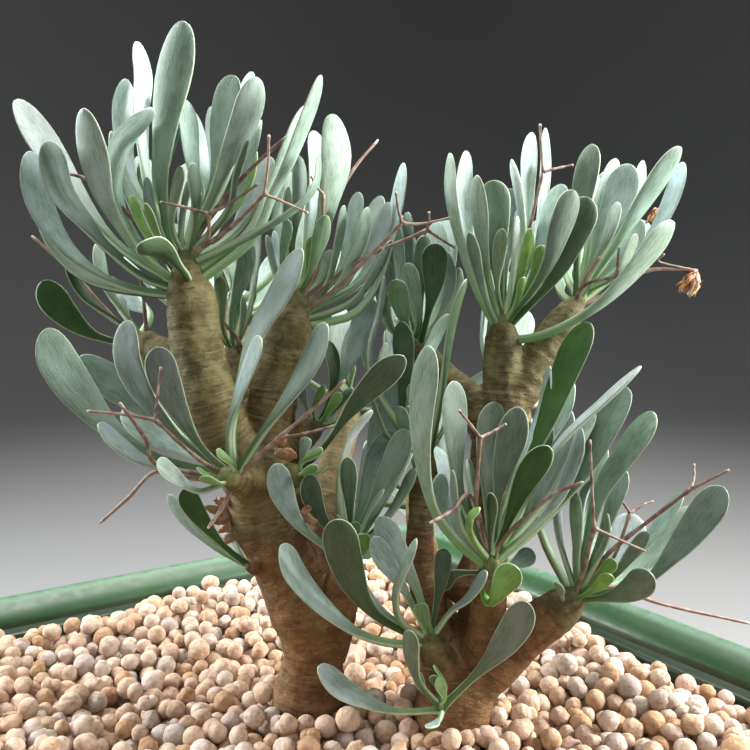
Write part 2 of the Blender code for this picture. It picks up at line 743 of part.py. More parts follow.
def fill_top():
    """The points of the filling's top, row by row, in metres."""
    points = []
    for j in range(FILL_CELLS + 1):
        for i in range(FILL_CELLS + 1):
            u, v = 2 * i / FILL_CELLS - 1, 2 * j / FILL_CELLS - 1
            x, y = to_rounded(u, v, FILL_HALF, FILL_CORNER)
            rise = 0 if i in (0, FILL_CELLS) or j in (0, FILL_CELLS) else hump(x, y)
            points.append(Vector((x, y, BALL_LEVEL + rise)) / 1000)
    return points


def clay_balls(paint):
    """The pot's filling, with the balls as a relief on its top and a plain hole for each trunk."""
    points = fill_top()
    row = FILL_CELLS + 1
    corners = [j * row + i for j in range(FILL_CELLS) for i in range(FILL_CELLS)]
    faces = [(a, a + 1, a + row + 1, a + row) for a in corners]
    rim = list(range(FILL_CELLS))
    rim += [j * row + FILL_CELLS for j in range(FILL_CELLS)]
    rim += [FILL_CELLS * row + i for i in range(FILL_CELLS, 0, -1)]
    rim += [j * row for j in range(FILL_CELLS, 0, -1)]
    shrink = FILL_FOOT_HALF / FILL_HALF
    foot, count = len(points), len(rim)
    points += [Vector((points[i].x * shrink, points[i].y * shrink, (POT_FLOOR + GAP) / 1000)) for i in rim]
    for i in range(count):
        j = (i + 1) % count
        faces.append((rim[j], rim[i], foot + i, foot + j))
    faces.append(tuple(range(foot + count - 1, foot - 1, -1)))
    body = solid("clay_balls", (points, faces), paint)
    return shaded(boolean(body, [trunk_hole(name) for name in TRUNK_SPOTS], "DIFFERENCE"))


def trunk_hole(name):
    spot = seen(*TRUNK_SPOTS[name])
    low = placed(Vector((spot.x, spot.y, 0))) * 1000
    foot = BALL_LEVEL - STEM_DEPTH - GAP
    return cylinder(name + "_hole", low.x, low.y, foot, BALL_LEVEL + 9, trunk_radius(name) + GAP)


def trunk_radius(name):
    first = TRUNK_LEFT[0][0] if name == "trunk_left" else TRUNK_RIGHT[0][0]
    return first[3]


def tube(path, radii, resolution):
    """A round tube along a POLY curve with a bevel and filled caps, as (points in millimetres, faces)."""
    curve = bpy.data.curves.new("tube", "CURVE")
    curve.dimensions = "3D"
    curve.bevel_depth = 1.0
    curve.bevel_resolution = resolution
    curve.use_fill_caps = True
    spline = curve.splines.new("POLY")
    spline.points.add(len(path) - 1)
    for knot, place, radius in zip(spline.points, path, radii):
        knot.co = (*place, 1)
        knot.radius = radius
    return taken(bpy.data.objects.new("tube", curve))


def taken(body):
    """An object's evaluated and welded mesh as (points, faces), with the object removed."""
    shelf(CUTTERS).objects.link(body)
    graph = bpy.context.evaluated_depsgraph_get()
    mesh = bpy.data.meshes.new_from_object(body.evaluated_get(graph))
    shaped = bmesh.new()
    shaped.from_mesh(mesh)
    bmesh.ops.remove_doubles(shaped, verts=shaped.verts, dist=0.0001)
    points = [v.co.copy() for v in shaped.verts]
    faces = [tuple(v.index for v in face.verts) for face in shaped.faces]
    shaped.free()
    bpy.data.objects.remove(body, do_unlink=True)
    bpy.data.meshes.remove(mesh)
    return points, faces


def skinned(rings, tip):
    """Rings of equal count joined into a closed skin that ends in a tip."""
    count = len(rings[0])
    points = [p for ring in rings for p in ring]
    faces = [tuple(range(count))[::-1]]
    for level in range(len(rings) - 1):
        for i in range(count):
            j = (i + 1) % count
            low, high = level * count, (level + 1) * count
            faces.append((low + i, low + j, high + j))
            faces.append((low + i, high + j, high + i))
    last = (len(rings) - 1) * count
    points.append(tip)
    faces += [(last + i, last + (i + 1) % count, len(points) - 1) for i in range(count)]
    return points, faces


def smooth(points, count):
    """Points spread evenly along a smooth curve through the given ones."""
    ends = [2 * points[0] - points[1]] + list(points) + [2 * points[-1] - points[-2]]
    dense = []
    for i in range(1, len(ends) - 2):
        a, b, c, d = ends[i - 1 : i + 3]
        for step in range(8):
            t = step / 8
            bend = (2 * a - 5 * b + 4 * c - d) * t * t + (3 * b - a - 3 * c + d) * t**3
            dense.append(0.5 * (2 * b + (c - a) * t + bend))
    dense.append(points[-1].copy())
    return spread(dense, [k / (count - 1) for k in range(count)])


def spread(dense, shares):
    """The places along a dense line at these shares of its length."""
    lengths = [0.0]
    for a, b in zip(dense, dense[1:]):
        lengths.append(lengths[-1] + (b - a).length)
    places = []
    k = 0
    for share in shares:
        want = share * lengths[-1]
        while k < len(lengths) - 2 and lengths[k + 1] < want:
            k += 1
        part = (want - lengths[k]) / max(lengths[k + 1] - lengths[k], 1e-9)
        places.append(dense[k].lerp(dense[k + 1], part))
    return places


# A leaf's rings as (share of the length, share of the width, share of the thickness)
BROAD_RINGS = ((0.0, 0.22, 0.8), (0.26, 0.27, 0.9), (0.53, 0.66, 0.95), (0.79, 1.0, 0.85), (0.95, 0.62, 0.7))
SLIM_RINGS = ((0.0, 0.25, 0.8), (0.42, 0.46, 0.9), (0.82, 1.0, 0.9))
SLIM_BELOW = 5.4
# A leaf's width is at least this share of its length, up to the usual width
SLENDER = 0.19
MIDRIB_PLACES = 25


def width_across(tangent, view, side, tilt):
    """The direction of a leaf's width at one place: across the sight line, turned out of it by the tilt."""
    flat = tangent.cross(view).normalized()
    deep = tangent.cross(flat)
    return flat * math.cos(tilt) + deep * (side * math.sin(tilt))


def leaf_shape(leaf, more=0.0):
    """The leaf as a coarse closed blade in millimetres, grown by more on every side."""
    plan = SLIM_RINGS if leaf["width"] < SLIM_BELOW or leaf["hidden"] else BROAD_RINGS
    spots = spread(leaf["midrib"], [ring[0] for ring in plan] + [1.0])
    rings = []
    for i, (_, wide, deep) in enumerate(plan):
        tangent = (spots[i + 1] - spots[max(i - 1, 0)]).normalized()
        across = leaf["across"](tangent, spots[i])
        normal = tangent.cross(across).normalized()
        half = wide * leaf["width"] / 2 + more
        keel = deep * leaf["thick"]
        face = spots[i] + normal * (leaf["upper"] * (keel * 0.35 + more))
        back = spots[i] - normal * (leaf["upper"] * (keel * 0.65 + more))
        corners = [face + across * half, face - across * half, back]
        rings.append(corners if leaf["upper"] > 0 else corners[::-1])
    last = (spots[-1] - spots[-2]).normalized()
    return skinned(rings, spots[-1] + last * more)


def bud_line(name):
    """A rosette's bud as its foot, its top and its two radii, in millimetres."""
    if name in FAR_BUDS:
        foot, top, wide, narrow = FAR_BUDS[name]
        return Vector(foot), Vector(top), wide, narrow
    foot, top, wide, narrow = BUDS[name]
    return seen(*foot), seen(*top), wide, narrow


def on_bud(name, point):
    """The place on a bud's axis nearest a point, kept off the bud's ends."""
    foot, top, _, _ = bud_line(name)
    axis = stem_end_direction(name) * (top - foot).length
    share = (point - foot).dot(axis) / axis.length_squared
    low = min(1.6 / axis.length, 0.4)
    return foot + axis * min(max(share, low), 0.92)


def seen_leaf(name, near, shown, places, shift=0.0, bow=0.0):
    """A leaf of the photograph, whose tip may be shifted along its sight line to clear what is near."""
    foot, top, _, _ = bud_line(name)
    away = foot.y + (top.y - foot.y) * 0.5
    steps = [0.0]
    for a, b in zip(places, places[1:]):
        steps.append(steps[-1] + math.hypot(b[0] - a[0], b[1] - a[1]))
    knots = []
    for place, step in zip(places, steps):
        share = 1 - step / steps[-1]
        lean = -(near + shift) * share**1.15 + bow * 4 * share * (1 - share)
        knots.append(seen(*place, away + lean))
    knots.reverse()
    knots[0] = on_bud(name, knots[0])
    midrib = smooth(knots, MIDRIB_PLACES)
    length = sum((b - a).length for a, b in zip(midrib, midrib[1:]))
    wide = shown * pixel_size(away - near)
    width = max(min(LEAF_WIDTH, SLENDER * length), wide)
    tilt = math.acos(min(wide / width, 1.0))
    axis = (top - foot).normalized()
    half = MIDRIB_PLACES // 2
    out = midrib[half] - on_bud(name, midrib[half])
    tangent = (midrib[half + 1] - midrib[half - 1]).normalized()
    view = (midrib[half] - EYE).normalized()
    natural = axis.cross(out)
    turned = [width_across(tangent, view, side, tilt) for side in (1, -1)]
    side = 1 if abs(turned[0].dot(natural)) >= abs(turned[1].dot(natural)) else -1

    def across(along, spot):
        return width_across(along, (spot - EYE).normalized(), side, tilt)

    thick = LEAF_THICK * min(1.0, 0.45 + 0.55 * width / LEAF_WIDTH)
    lifted = tangent.cross(turned[0 if side == 1 else 1]).dot(axis - out.normalized() * 0.5) > 0
    return {
        "midrib": midrib,
        "across": across,
        "width": width,
        "thick": thick,
        "upper": 1 if lifted else -1,
        "hidden": False,
    }


def far_leaf(name, turn, rise, length, width):
    """A leaf out of sight: it leaves the bud sideways and bends up along the bud."""
    foot, top, _, _ = bud_line(name)
    axis = (top - foot).normalized()
    side = axis.cross(Vector((0, -1, 0.01))).normalized()
    front = side.cross(axis)
    out = side * math.cos(turn) + front * math.sin(turn)
    start = on_bud(name, foot.lerp(top, 0.35 + 0.4 * rise))
    low = out * math.cos(rise * 0.7) + axis * math.sin(rise * 0.7)
    high = out * math.cos(rise + 0.35) + axis * math.sin(rise + 0.35)
    elbow = start + low * length * 0.45
    midrib = smooth([start, elbow, elbow + high * length * 0.55], MIDRIB_PLACES)
    flat = axis.cross(out).normalized()

    def across(along, spot):
        return (flat - along * flat.dot(along)).normalized()

    return {
        "midrib": midrib,
        "across": across,
        "width": width,
        "thick": LEAF_THICK,
        "upper": 1 if high.cross(flat).dot(axis) > 0 else -1,
        "hidden": True,
    }


def tree_of(shape):
    return BVHTree.FromPolygons(shape[0], shape[1], all_triangles=False)


class Crowd:
    """Every placed body, with a box for a quick test and a tree for the full one."""

    def __init__(self):
        self.owners = []
        self.lows = []
        self.highs = []
        self.trees = []
        self.outer = []

    def add(self, owner, shape, outer=None):
        points = np.array([tuple(p) for p in shape[0]])
        self.owners.append(owner)
        self.lows.append(points.min(axis=0))
        self.highs.append(points.max(axis=0))
        self.trees.append(tree_of(shape))
        self.outer.append(outer)

    def hides(self, point):
        """Whether something stands on the viewer's sight line before the point."""
        line = point - EYE
        return any(tree.ray_cast(EYE, line, line.length - 1)[0] for tree in self.trees)

    def clashes(self, owner, shape, outer=None):
        """How many bodies of other owners the shape crosses, and how many siblings beyond their feet."""
        points = np.array([tuple(p) for p in shape[0]])
        near = (np.array(self.lows) <= points.max(axis=0)).all(axis=1)
        near &= (np.array(self.highs) >= points.min(axis=0)).all(axis=1)
        tree = tree_of(shape)
        hard = soft = 0
        for i in np.flatnonzero(near):
            if self.owners[i] != owner:
                hard += bool(tree.overlap(self.trees[i]))
            elif outer is not None and self.outer[i] is not None:
                soft += bool(outer.overlap(self.outer[i]))
        return hard, soft


def outer_part(shape):
    """The tree of a leaf's or stalk's faces beyond its foot."""
    points, faces = shape
    kept = [face for face in faces if min(face) >= len(points) * FOOT_SHARE]
    return BVHTree.FromPolygons(points, kept, all_triangles=False)


# How far a leaf's or stalk's tip, and a leaf's middle, may move along the sight line to clear others, in mm
SHIFTS = (0, 1.5, -1.5, 3, -3, 4.5, -4.5, 6, -6, 8, -8, 10, -10, 13, -13, 16, -16)
BOWS = (0, 3, -3, 6, -6)
# Nothing of a rosette comes lower than this over the balls' level, or nearer than this to another node, in mm
FLOOR = 2.0
CLEARANCE = 0.34
FOOT_SHARE = 0.18


def clear_choice(crowd, owner, choices, shape_of):
    """The first choice that crosses nothing, or else one that crosses only its own siblings, or None."""
    spare = None
    for choice in choices:
        grown = shape_of(choice, CLEARANCE)
        if min(p.z for p in grown[0]) < FLOOR:
            continue
        hard, soft = crowd.clashes(owner, grown, outer_part(grown))
        if hard:
            continue
        if not soft:
            return choice
        if spare is None or soft < spare[0]:
            spare = (soft, choice)
    return spare[1] if spare else None


def settle_seen_leaves(crowd):
    """Every leaf of the photograph, its depth moved as little as it takes to clear the others."""
    kept = {name: [] for name in list(BUDS) + list(FAR_BUDS)}
    order = [(name, leaf) for name in LEAVES for leaf in LEAVES[name]]
    order.sort(key=lambda item: -item[1][1])
    for name, (near, shown, *places) in order:
        tries = sorted(((s, b) for s in SHIFTS for b in BOWS), key=lambda t: abs(t[0]) + 1.5 * abs(t[1]))
        leaves = (seen_leaf(name, near, shown, places, shift, bow) for shift, bow in tries)
        best = clear_choice(crowd, name, leaves, leaf_shape)
        if best is None:
            print("no room for a leaf of", name, places[0])
            continue
        shape = leaf_shape(best)
        crowd.add(name, shape, outer_part(shape))
        kept[name].append(best)
    return kept


def out_of_sight(crowd, leaf):
    """Whether the leaf's tip and the edges of its blade are hidden from the viewer."""
    points, _ = leaf_shape(leaf)
    return all(crowd.hides(points[i]) for i in BLADE_POINTS)


def far_choices(name, turn, share, rule):
    """Leaves out of sight about one turn, by seeded draws; share runs from the outer leaves to the inner."""
    choices = []
    for _ in range(TRIES):
        aside = rule.uniform(-0.3, 0.3)
        rise = 0.25 + share + rule.uniform(-0.15, 0.2)
        length = (FAR_LENGTH - 8 * share) * rule.uniform(0.8, 1.05)
        choices.append(far_leaf(name, turn + aside, rise, length, rule.uniform(*FAR_WIDTHS)))
    return choices


# The slim blade's points at its edges and tip, the draws tried at each turn, and the turns tried for each leaf
BLADE_POINTS = (3, 6, 7, 9)
TRIES = 14
TURNS_A_LEAF = 8
GOLDEN_ANGLE = math.radians(137.5)
# How far round to the viewer's side a hidden leaf may stand, as the sine of its turn
FAR_SECTOR = -0.55
FAR_BUD_SECTOR = 0.25


def settle_far_leaves(crowd, kept):
    """Leaves out of sight by the golden angle, each turned a little further until it is clear."""
    for number, (name, count) in enumerate(FAR_LEAVES.items()):
        rule = random.Random(40 + number)
        sector = FAR_BUD_SECTOR if name in FAR_BUDS else FAR_SECTOR
        made = 0
        for step in range(count * TURNS_A_LEAF):
            turn = step * GOLDEN_ANGLE
            if made == count or math.sin(turn) > sector:
                continue
            choices = far_choices(name, turn, made / count, rule)
            hidden = [leaf for leaf in choices if out_of_sight(crowd, leaf)]
            best = clear_choice(crowd, name, hidden, leaf_shape)
            if best is None:
                continue
            shape = leaf_shape(best)
            crowd.add(name, shape, outer_part(shape))
            kept[name].append(best)
            made += 1


def stalk_runs(name, near, places, arms, shift=0.0):
    """A dry stalk, its arms and its flower head, each as (points, radii)."""
    foot, top, _, _ = bud_line(name)
    away = (foot.y + top.y) / 2
    end = away - (near + shift)
    main = [seen(*place, away + (end - away) * i / (len(places) - 1)) for i, place in enumerate(places)]
    main[0] = on_bud(name, main[0])
    runs = [(main, tapered(STALK_RADIUS, len(main)))]
    for number, arm in enumerate(arms):
        lean = 3 if number % 2 else -3
        points = [seen(*place, end + lean * (i + 1) / len(arm)) for i, place in enumerate(arm)]
        root = main[-1] - (points[0] - main[-1]).normalized() * GAP
        runs.append(([root] + points, tapered(STALK_RADIUS * ARM_SHARE, len(arm) + 1)))
    if places[-1] in HEADS:
        far, wide = HEADS[places[-1]]
        tip = seen(*far, end)
        root = main[-1] - (tip - main[-1]).normalized() * GAP
        runs.append(([root, main[-1].lerp(tip, 0.6), tip], [STALK_RADIUS, wide, wide * 0.5]))
    return runs


def tapered(radius, count):
    return [radius * (1 - 0.3 * i / (count - 1)) for i in range(count)]


def stalk_shapes(runs, more=0.0):
    return [tube(points, [radius + more for radius in radii], 0) for points, radii in runs]


def merged(shapes):
    points, faces = [], []
    for more, sides in shapes:
        faces += [tuple(i + len(points) for i in face) for face in sides]
        points += list(more)
    return points, faces


def settle_stalks(crowd):
    """Every dry stalk of the photograph, moved along its sight lines until it is clear."""
    kept = []
    for name, near, places, *arms in STALKS:
        choices = (stalk_runs(name, near, places, arms, shift) for shift in SHIFTS)
        best = clear_choice(crowd, name, choices, lambda runs, more: merged(stalk_shapes(runs, more)))
        if best is None:
            print("no room for a stalk of", name, places[-1])
            continue
        crowd.add(name, merged(stalk_shapes(best)))
        kept.append((name, best))
    return kept


def stem_path(points, in_photo):
    """A stem's points in millimetres and its radii."""
    if in_photo:
        return [seen(x, y, away) for x, y, away, _ in points], [p[3] for p in points]
    return [Vector(p[:3]) for p in points], [p[3] for p in points]


def stem_shapes(name):
    """The tubes of one trunk with its branches, each branch rooted inside what carries it."""
    near, far = (TRUNK_LEFT, FAR_LEFT) if name == "trunk_left" else (TRUNK_RIGHT, FAR_RIGHT)
    shapes = []
    for number, points in enumerate(near + far):
        path, radii = stem_path(points, number < len(near))
        fine, thick = stem_run(path, radii)
        if number == 0:
            fine[0] = Vector((fine[0].x, fine[0].y, 2.0))
            fine.insert(0, Vector((fine[0].x, fine[0].y, -STEM_DEPTH)))
            thick.insert(0, thick[0])
        shapes.append(tube(fine, thick, 2 if number == 0 else 1))
    return shapes


def stem_run(path, radii):
    """A stem's points and radii, spread evenly along its smooth run."""
    fine = smooth(path, len(path))
    where = np.linspace(0, 1, len(radii))
    return fine, [float(r) for r in np.interp(np.linspace(0, 1, len(fine)), where, radii)]


def stem_end_direction(name):
    """The direction of the stem that ends under a bud."""
    foot, top, _, _ = bud_line(name)
    best = (top - foot).normalized()
    nearest = 3.0
    for near, far in ((TRUNK_LEFT, FAR_LEFT), (TRUNK_RIGHT, FAR_RIGHT)):
        for number, points in enumerate(near + far):
            path, radii = stem_path(points, number < len(near))
            if (path[-1] - foot).length < nearest:
                nearest = (path[-1] - foot).length
                fine, _ = stem_run(path, radii)
                best = (fine[-1] - fine[-2]).normalized()
    return best


def bud_shape(name):
    """A bud as a cone that stands square on its stem's end, with the gap of touching meshes between."""
    foot, top, wide, narrow = bud_line(name)
    heading = stem_end_direction(name)
    length = (top - foot).length
    mesh = bpy.data.meshes.new(name)
    shaped = bmesh.new()
    bmesh.ops.create_cone(shaped, cap_ends=True, segments=8, radius1=wide, radius2=narrow, depth=length)
    bmesh.ops.translate(shaped, verts=shaped.verts, vec=(0, 0, length / 2 + BUD_GAP))
    bmesh.ops.rotate(shaped, verts=shaped.verts, matrix=heading.to_track_quat("Z", "Y").to_matrix())
    bmesh.ops.translate(shaped, verts=shaped.verts, vec=foot)
    shaped.to_mesh(mesh)
    shaped.free()
    return taken(bpy.data.objects.new(name, mesh))


def finished(name, shapes, paint):
    """Closed shapes in millimetres fused into one node."""
    bodies = []
    for number, (points, faces) in enumerate(shapes):
        bodies.append(solid(f"{name}_{number}", ([placed(p) for p in points], faces)))
    first = bodies[0]
    if len(bodies) > 1:
        boolean(first, bodies[1:], "UNION", "MANIFOLD")
    first.name = name
    first.data.name = name
    first.data.materials.clear()
    first.data.materials.append(paint)
    return shaded(first)


def main():
    cleared()
    pot(material("green plastic", (0.03, 0.16, 0.09), 0.3))
    clay_balls(material("clay balls", (0.66, 0.47, 0.33), 0.9))
    bark = material("bark", (0.30, 0.19, 0.09), 0.8)
    blade = material("leaf", (0.20, 0.31, 0.22), 0.6)
    crowd = Crowd()
    trunks = {name: stem_shapes(name) for name in TRUNK_SPOTS}
    for name, shapes in trunks.items():
        for shape in shapes:
            crowd.add(name, shape)
    buds = {name: bud_shape(name) for name in list(BUDS) + list(FAR_BUDS)}
    for name, shape in buds.items():
        crowd.add(name, shape)
    leaves = settle_seen_leaves(crowd)
    stalks = settle_stalks(crowd)
    settle_far_leaves(crowd, leaves)
    for name, shapes in trunks.items():
        finished(name, shapes, bark)
    for name, shape in buds.items():
        shapes = [shape] + [leaf_shape(leaf) for leaf in leaves[name]]
        for owner, runs in stalks:
            if owner == name:
                shapes += stalk_shapes(runs)
        finished("leaves_" + name, shapes, blade)


main()
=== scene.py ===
"""A potted othonna's looks: fine leaves, bark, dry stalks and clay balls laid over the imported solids."""
import math
import random

import bmesh
import bpy
import numpy as np
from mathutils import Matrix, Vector, noise
from mathutils.bvhtree import BVHTree
from mathutils.kdtree import KDTree


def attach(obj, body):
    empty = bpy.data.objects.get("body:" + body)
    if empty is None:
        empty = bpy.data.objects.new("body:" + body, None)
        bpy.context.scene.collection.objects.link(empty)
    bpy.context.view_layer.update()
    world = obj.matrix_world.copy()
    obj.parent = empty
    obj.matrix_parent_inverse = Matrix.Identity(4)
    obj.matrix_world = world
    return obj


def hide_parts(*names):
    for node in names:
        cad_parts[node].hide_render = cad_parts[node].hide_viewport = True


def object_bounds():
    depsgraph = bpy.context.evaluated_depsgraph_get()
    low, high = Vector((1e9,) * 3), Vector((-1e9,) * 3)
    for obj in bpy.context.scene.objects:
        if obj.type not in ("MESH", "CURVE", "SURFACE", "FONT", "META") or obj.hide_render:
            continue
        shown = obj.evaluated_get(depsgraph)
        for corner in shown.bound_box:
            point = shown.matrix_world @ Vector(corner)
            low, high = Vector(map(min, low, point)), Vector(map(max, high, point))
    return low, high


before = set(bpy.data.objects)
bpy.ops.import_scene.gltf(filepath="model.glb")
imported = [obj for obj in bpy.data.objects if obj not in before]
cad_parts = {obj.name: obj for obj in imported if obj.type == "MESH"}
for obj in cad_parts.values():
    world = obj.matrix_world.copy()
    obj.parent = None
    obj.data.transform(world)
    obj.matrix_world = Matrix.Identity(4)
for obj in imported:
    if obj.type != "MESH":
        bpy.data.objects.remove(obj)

cad_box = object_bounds()

# Sizes of the part, in millimetres, as the solids have them
POT_SIDE = 180.0
POT_HEIGHT = 110.0
RIM_ABOVE_BALLS = 8.0
POT_FLOOR = 3.0
LEAF_WIDTH = 8.6
LEAF_THICK = 1.9
STEM_DEPTH = 14.0
FAR_LENGTH = 46.0
FAR_WIDTHS = (7.2, 8.8)

POT_HALF = POT_SIDE / 2
BALL_LEVEL = POT_HEIGHT - RIM_ABOVE_BALLS
VIEW_TURN = math.radians(-34.3)

# The viewer: eye in millimetres, focal length and centre in pixels of the 750-pixel photograph
EYE = Vector((11.4, -175.0, 90.0))
FOCAL = 852.0
CENTRE = 375.0
PITCH = math.radians(5.7)

# The pot as (half side, corner radius, height): its outer foot and the edge over it, the shoulder under the
# lip, and the foot of the wall inside
POT_FOOT = (POT_HALF - 20.0, 12.0, 0.0)
POT_FOOT_EDGE = (POT_HALF - 19.0, 12.0, 1.5)
POT_SHOULDER = ((POT_HALF - 9.5, 13.0, POT_HEIGHT - 15.0), (POT_HALF - 1.5, 14.0, POT_HEIGHT - 14.0))
POT_INNER_FOOT = (POT_HALF - 22.5, 9.5, POT_FLOOR)
DRAINS = ((34.0, 34.0), (-34.0, 34.0), (-34.0, -34.0), (34.0, -34.0))
DRAIN_RADIUS = 4.0
DRAIN_DEPTH = 20.0

# Stems: for each, where it runs in the photograph as (x, y, away in mm, radius in mm)
TRUNK_LEFT = (
    (
        (309, 700, 5, 8.0),
        (309, 640, 5, 8.1),
        (304, 600, 5, 8.5),
        (283, 560, 5, 7.3),
        (262, 520, 5, 6.7),
        (258, 484, 5, 6.6),
    ),
    (
        (258, 495, 5, 6.0),
        (236, 452, 5, 5.4),
        (216, 412, 4, 5.3),
        (203, 370, 4, 5.3),
        (194, 330, 4, 5.2),
        (192, 306, 4, 5.0),
    ),
    ((262, 495, 6, 5.8), (268, 450, 8, 5.2), (272, 410, 9, 5.0), (278, 370, 10, 4.9), (287, 338, 10, 4.5)),
    ((322, 650, 5, 6.0), (338, 605, 2, 4.4), (345, 575, -1, 3.6)),
    ((270, 450, 8, 3.8), (292, 444, 9, 3.2), (306, 434, 9, 2.8)),
    ((262, 486, 5, 3.4), (286, 478, 2, 2.6)),
    ((205, 380, 5, 3.6), (176, 360, 11, 3.2), (154, 347, 15, 2.8)),
    ((246, 450, 7, 4.6), (238, 405, 13, 3.8), (234, 366, 18, 3.2)),
    ((262, 492, 4, 4.0), (244, 483, -4, 3.2)),
    ((284, 574, 4, 2.6), (258, 569, -1, 1.8)),
)
TRUNK_RIGHT = (
    ((451, 715, -1, 8.2), (458, 690, -1, 8.0), (470, 662, 0, 7.4)),
    ((462, 685, -1, 7.0), (500, 655, -1, 6.0), (530, 630, -2, 5.0), (560, 610, -2, 4.2)),
    ((476, 672, -1, 5.4), (487, 635, -5, 4.2), (490, 588, -8, 3.5)),
    (
        (474, 672, 1, 5.8),
        (482, 600, 7, 5.2),
        (486, 540, 10, 4.8),
        (492, 470, 11, 5.0),
        (505, 408, 12, 5.6),
        (506, 390, 12, 5.4),
    ),
    ((505, 410, 12, 5.0), (503, 374, 12, 4.5), (503, 350, 12, 4.2)),
    ((507, 404, 12, 5.0), (530, 374, 13, 4.6), (549, 343, 14, 4.2), (565, 320, 14, 3.4)),
    ((494, 445, 11, 4.0), (466, 396, 15, 4.0), (442, 374, 18, 3.4), (428, 359, 18, 3.0)),
    ((455, 690, 0, 5.0), (434, 620, 3, 3.6), (421, 560, 5, 3.2), (420, 510, 7, 3.0), (424, 482, 8, 2.8)),
    ((452, 700, -1, 6.6), (441, 672, -3, 5.0), (434, 650, -6, 3.4)),
)

# Stems on the far side, guessed: (x, y, z, radius) in millimetres
FAR_LEFT = (
    ((-6, 6, 44, 5.0), (-16, 20, 62, 4.0), (-22, 33, 78, 3.4)),
    ((-3, 6, 26, 5.0), (0, 20, 42, 4.0), (4, 33, 56, 3.2)),
)
FAR_RIGHT = (
    ((31, 2, 24, 5.0), (40, 18, 40, 4.0), (46, 31, 56, 3.4)),
    ((28, 0, 10, 5.0), (25, 16, 20, 4.0), (22, 30, 32, 3.2)),
)

# Rosettes: bud foot and bud top in the photograph as (x, y, away in mm), and the bud's two radii in mm
BUDS = {
    "crown_left": ((192, 304, 4), (207, 244, 4), 5.0, 2.2),
    "crown_mid": ((288, 336, 10), (302, 282, 10), 4.5, 2.0),
    "low_left": ((242, 482, -5), (212, 464, -9), 3.2, 2.0),
    "mid_low": ((345, 573, -1), (351, 536, -3), 3.6, 1.8),
    "mid_notch": ((308, 432, 9), (318, 416, 9), 2.8, 1.6),
    "mid_twin": ((288, 477, 2), (303, 468, 0), 2.6, 1.5),
    "shoulder": ((152, 346, 15), (134, 338, 18), 2.8, 1.6),
    "cleft": ((234, 364, 18), (235, 340, 18), 3.2, 1.6),
    "trunk_tuft": ((255, 568, -2), (243, 562, -3), 1.8, 1.3),
    "foot": ((444, 716, -10), (439, 703, -11), 2.4, 1.6),
    "low_mid": ((434, 648, -6), (427, 626, -6), 3.4, 1.8),
    "mid_back": ((424, 480, 8), (414, 446, 8), 2.8, 1.6),
    "back": ((427, 357, 18), (422, 330, 18), 3.0, 1.8),
    "front_right": ((490, 586, -8), (492, 546, -8), 3.5, 2.0),
    "low_right": ((562, 608, -2), (582, 586, -2), 4.2, 2.0),
    "crown_right": ((503, 348, 12), (508, 306, 12), 4.2, 2.0),
    "crown_far_right": ((566, 318, 14), (584, 288, 14), 3.4, 1.8),
}
# Rosettes on the far side: bud foot and top in millimetres, and the bud's two radii
FAR_BUDS = {
    "far_left": ((-22, 33, 78), (-24, 38, 90), 3.4, 1.8),
    "far_mid": ((4, 33, 56), (6, 38, 67), 3.2, 1.8),
    "far_right": ((46, 31, 56), (50, 36, 67), 3.4, 1.8),
    "far_low": ((22, 30, 32), (20, 36, 42), 3.2, 1.8),
}

